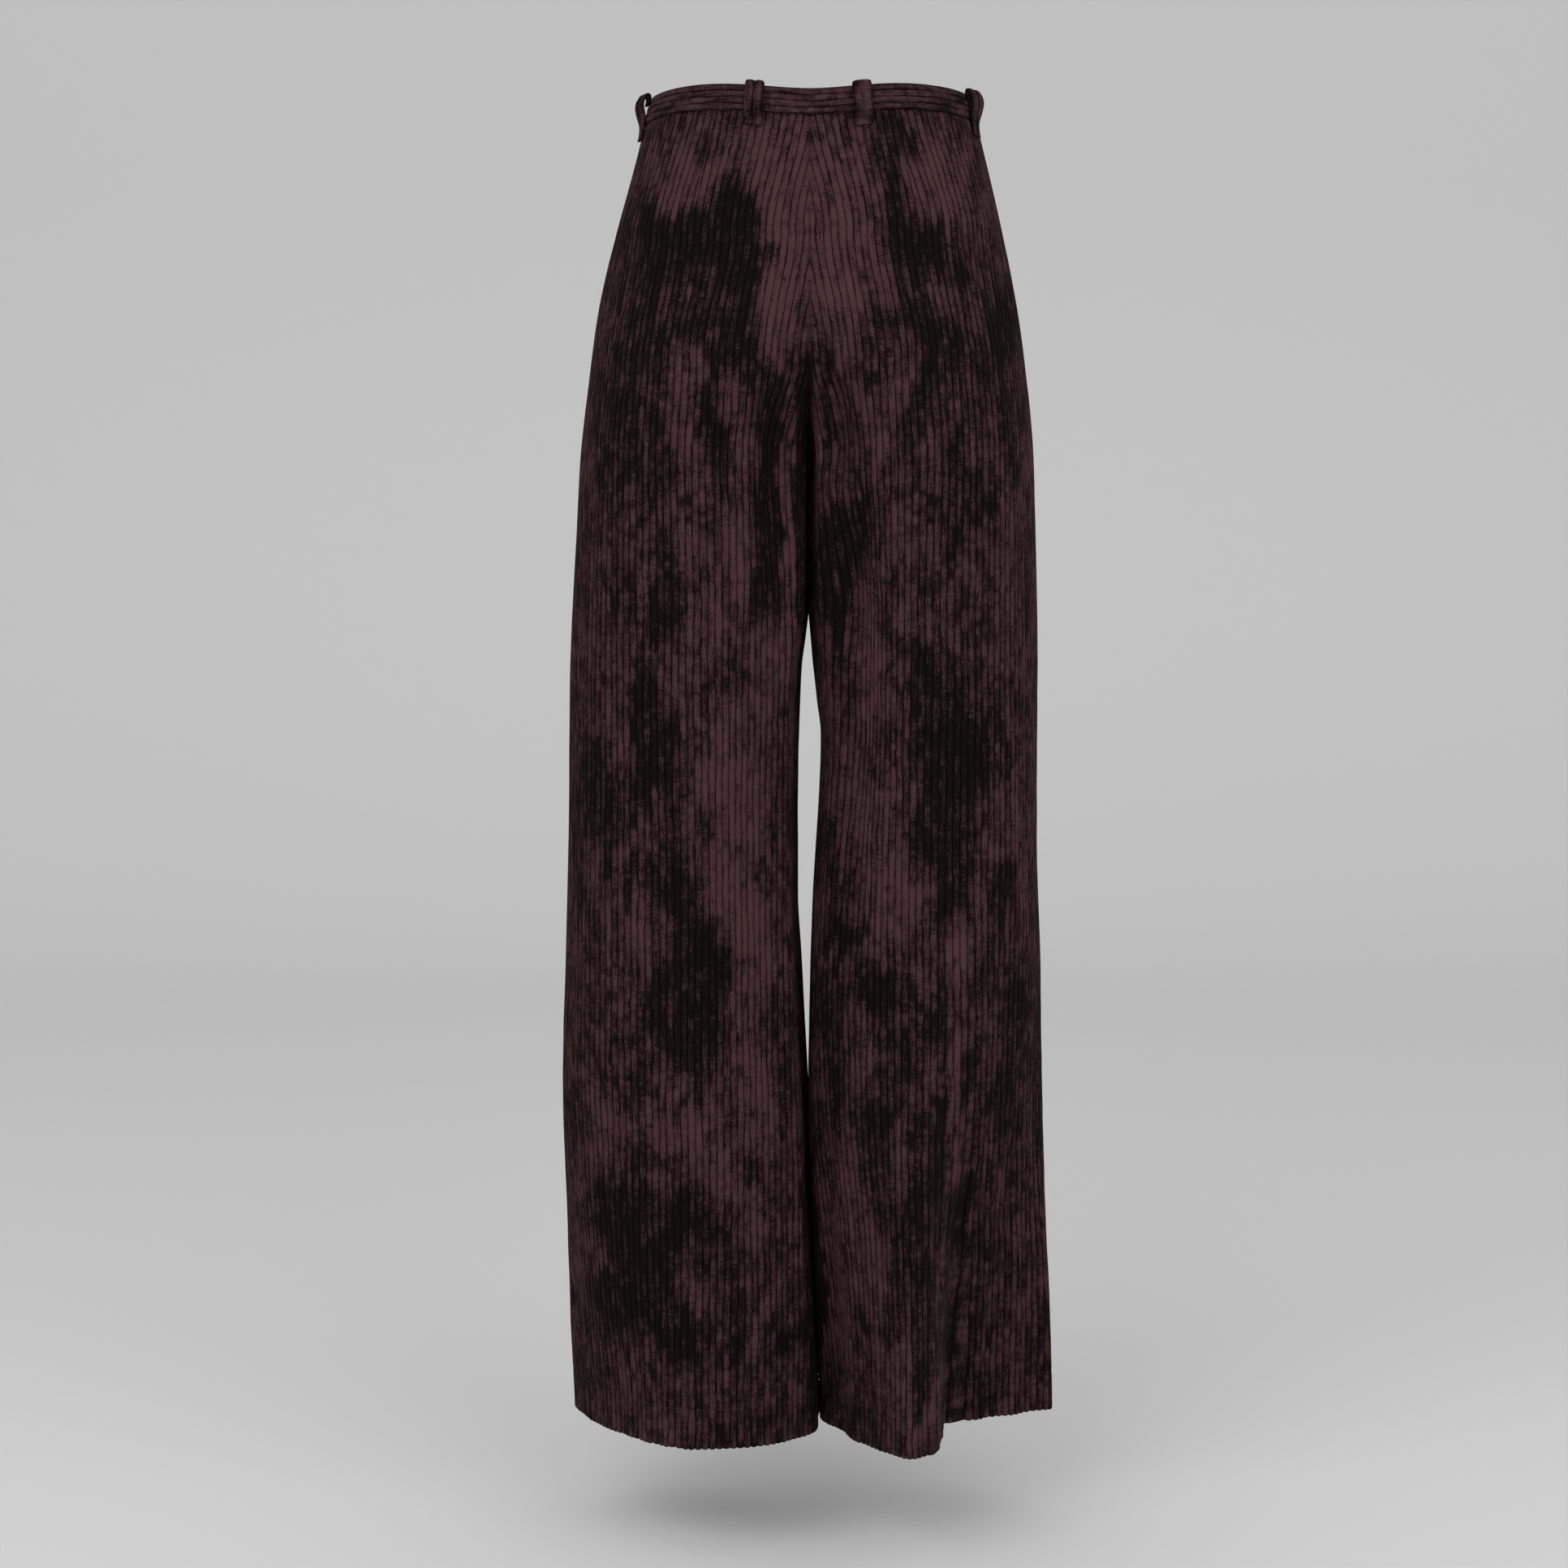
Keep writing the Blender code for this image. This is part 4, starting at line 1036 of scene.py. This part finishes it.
def make_hem_stitches(side, face, material):
    """The machine stitches that hold the turned hem: short threads across the cords, in a line
    round the panel."""
    columns = np.arange(-CORDS_EACH_WAY * CORD_PITCH, CORDS_EACH_WAY * CORD_PITCH, STITCH_PITCH)
    places, u, from_edge, from_dart, take_in, line = cloth_columns(side, face, STITCH_LINE, columns)
    kept = from_edge > 0.004
    relief = outer_relief(u, STITCH_LINE, from_edge, from_dart, take_in, 0.0)
    ridge = CORD_BASE + CORD_HEIGHT * 0.55 - STITCH_DENT
    points = cloth_points(side, STITCH_LINE, line, np.maximum(relief, ridge))[kept]
    out = np.column_stack([side * line[2], line[3], np.zeros(len(places))])[kept]
    along = unit(np.cross([0.0, 0.0, 1.0], out))
    up = np.broadcast_to([0.0, 0.0, 1.0], out.shape)
    sizes = (STITCH_LENGTH, 0.0004, 0.0004)
    flat, triangles = boxes(points, along, up, out, sizes)
    name = f"{FACE_NAMES[face]}_{SIDE_NAMES[side]}_hem_stitches"
    return even_piece(name, flat, triangles, material)


def make_zip(tape, metal):
    """The closed zip behind the lap of the fly: a tape of even thickness that follows both
    fronts, and two rows of teeth down its middle that lock into each other."""
    behind = CLOTH + ZIP_CLEARANCE
    heights = np.linspace(FLY_END, -BAND_HEIGHT, 30)
    rows = []
    for z in heights:
        arcs = np.linspace(0, ZIP_WIDTH / 2, 7)
        halves = []
        for side in (RIGHT, LEFT):
            arc, x, y = section(side, FRONT, z)[:3]
            x, y = np.interp(arcs, arc, x), np.interp(arcs, arc, y)
            rise = waist_rise(side * x, y, z)
            halves.append(np.column_stack([side * x, y - behind, z + rise]))
        front = np.concatenate([halves[1][:0:-1], halves[0]])
        back = front[::-1] - (0, 0.0007, 0)
        rows.append(np.concatenate([front, back]))
    points = np.array(rows)
    cloth = np.zeros((*points.shape[:2], 2))
    zip_tape = tube("zip_tape_cloth", points, cloth, np.zeros(points.shape[:2]), tape)
    count = int((heights[-1] - heights[0] - 0.006) / TOOTH_PITCH)
    at = heights[0] + 0.004 + TOOTH_PITCH * np.arange(count)
    middle = np.column_stack([np.interp(at, heights, points[:, 6, k]) for k in range(3)])
    middle[:, 0] += 0.0008 * np.where(np.arange(count) % 2, 1, -1)
    middle[:, 1] -= 0.0016
    ways = [np.tile(way, (count, 1)) for way in np.eye(3)]
    flat, triangles = boxes(middle, *ways, (0.0034, 0.0014, 0.0013))
    return zip_tape, even_piece("zip_teeth", flat, triangles, metal)


def make_floor(material):
    """A studio floor that curves up into the wall behind: a flat run, a quarter circle and an
    upright run, all as one profile carried across."""
    bend = np.radians(np.linspace(0, 90, 25))
    y = np.concatenate([[-8.0], FLOOR_BACK + FLOOR_BEND * np.sin(bend), [FLOOR_BACK + FLOOR_BEND]])
    z = np.concatenate([[0.0], FLOOR_BEND * (1 - np.cos(bend)), [6.0]]) + FLOOR
    profile = np.column_stack([np.zeros_like(y), y, z])
    points = np.stack([profile + (x, 0, 0) for x in (-9.0, 9.0)], axis=1)
    triangles = grid_triangles(np.arange(len(y) * 2).reshape(-1, 2))
    return even_piece("studio_floor", points.reshape(-1, 3), triangles, material)


def soft_light(name, place, target, size, power):
    """A square studio light that faces its target."""
    light = bpy.data.lights.new(name, "AREA")
    light.energy = power
    light.size = size
    lamp = bpy.data.objects.new(name, light)
    lamp.location = place
    lamp.rotation_euler = (Vector(target) - Vector(place)).to_track_quat("-Z", "Y").to_euler()
    bpy.context.scene.collection.objects.link(lamp)
    return lamp


def set_camera():
    """The camera at the photograph's place and angle."""
    data = bpy.data.cameras.new("camera")
    data.lens = CAMERA_LENS
    data.sensor_width = 36.0
    camera = bpy.data.objects.new("camera", data)
    camera.location = CAMERA_PLACE
    camera.rotation_euler = (math.radians(90 - CAMERA_DOWN), 0, 0)
    bpy.context.scene.collection.objects.link(camera)
    bpy.context.scene.camera = camera


def set_world():
    """An even pale grey all round."""
    world = bpy.data.worlds.new("studio")
    world.use_nodes = True
    background = world.node_tree.nodes["Background"]
    background.inputs["Color"].default_value = (0.80, 0.80, 0.80, 1)
    background.inputs["Strength"].default_value = 0.86
    bpy.context.scene.world = world


def main():
    cord = corduroy("corduroy", (0.0046, 0.0028, 0.0030, 1), (0.0600, 0.0280, 0.0305, 1))
    wrong_side = plain("corduroy_wrong_side", (0.0150, 0.0085, 0.0090), 0.9)
    thread = plain("sewing_thread", (0.0120, 0.0070, 0.0073), 0.8)
    tape = plain("zip_tape_weave", (0.0200, 0.0120, 0.0130), 0.8)
    metal = plain("zip_metal", (0.20, 0.19, 0.18), 0.4, 1.0)
    surface = waist_surface()
    band = make_waistband(surface, cord)
    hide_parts("waistband")
    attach(band, "root")
    for name, place, cords in LOOPS:
        loop = make_belt_loop(name, place, cords, surface, cord)
        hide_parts(name)
        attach(loop, "root")
    for (side, face), (flat, area) in PANEL_CUTS.items():
        panel = make_panel(side, face, [cord, wrong_side])
        node = f"{FACE_NAMES[face]}_{SIDE_NAMES[side]}"
        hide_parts(node)
        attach(panel, "root")
        stitches = make_hem_stitches(side, face, thread)
        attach(stitches, "root")
    zip_tape, teeth = make_zip(tape, metal)
    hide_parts("fly_zip")
    for piece in (zip_tape, teeth):
        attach(piece, "root")
    floor = make_floor(plain("studio_floor", (0.70, 0.70, 0.70), 0.9))
    soft_light("key_light", (-1.4, -2.6, 1.3), (0, 0, -0.45), 2.4, 44)
    soft_light("fill_light", (1.7, -2.4, 0.5), (0, 0, -0.55), 2.4, 30)
    set_camera()
    set_world()
    bpy.context.scene.view_settings.view_transform = "Standard"


main()
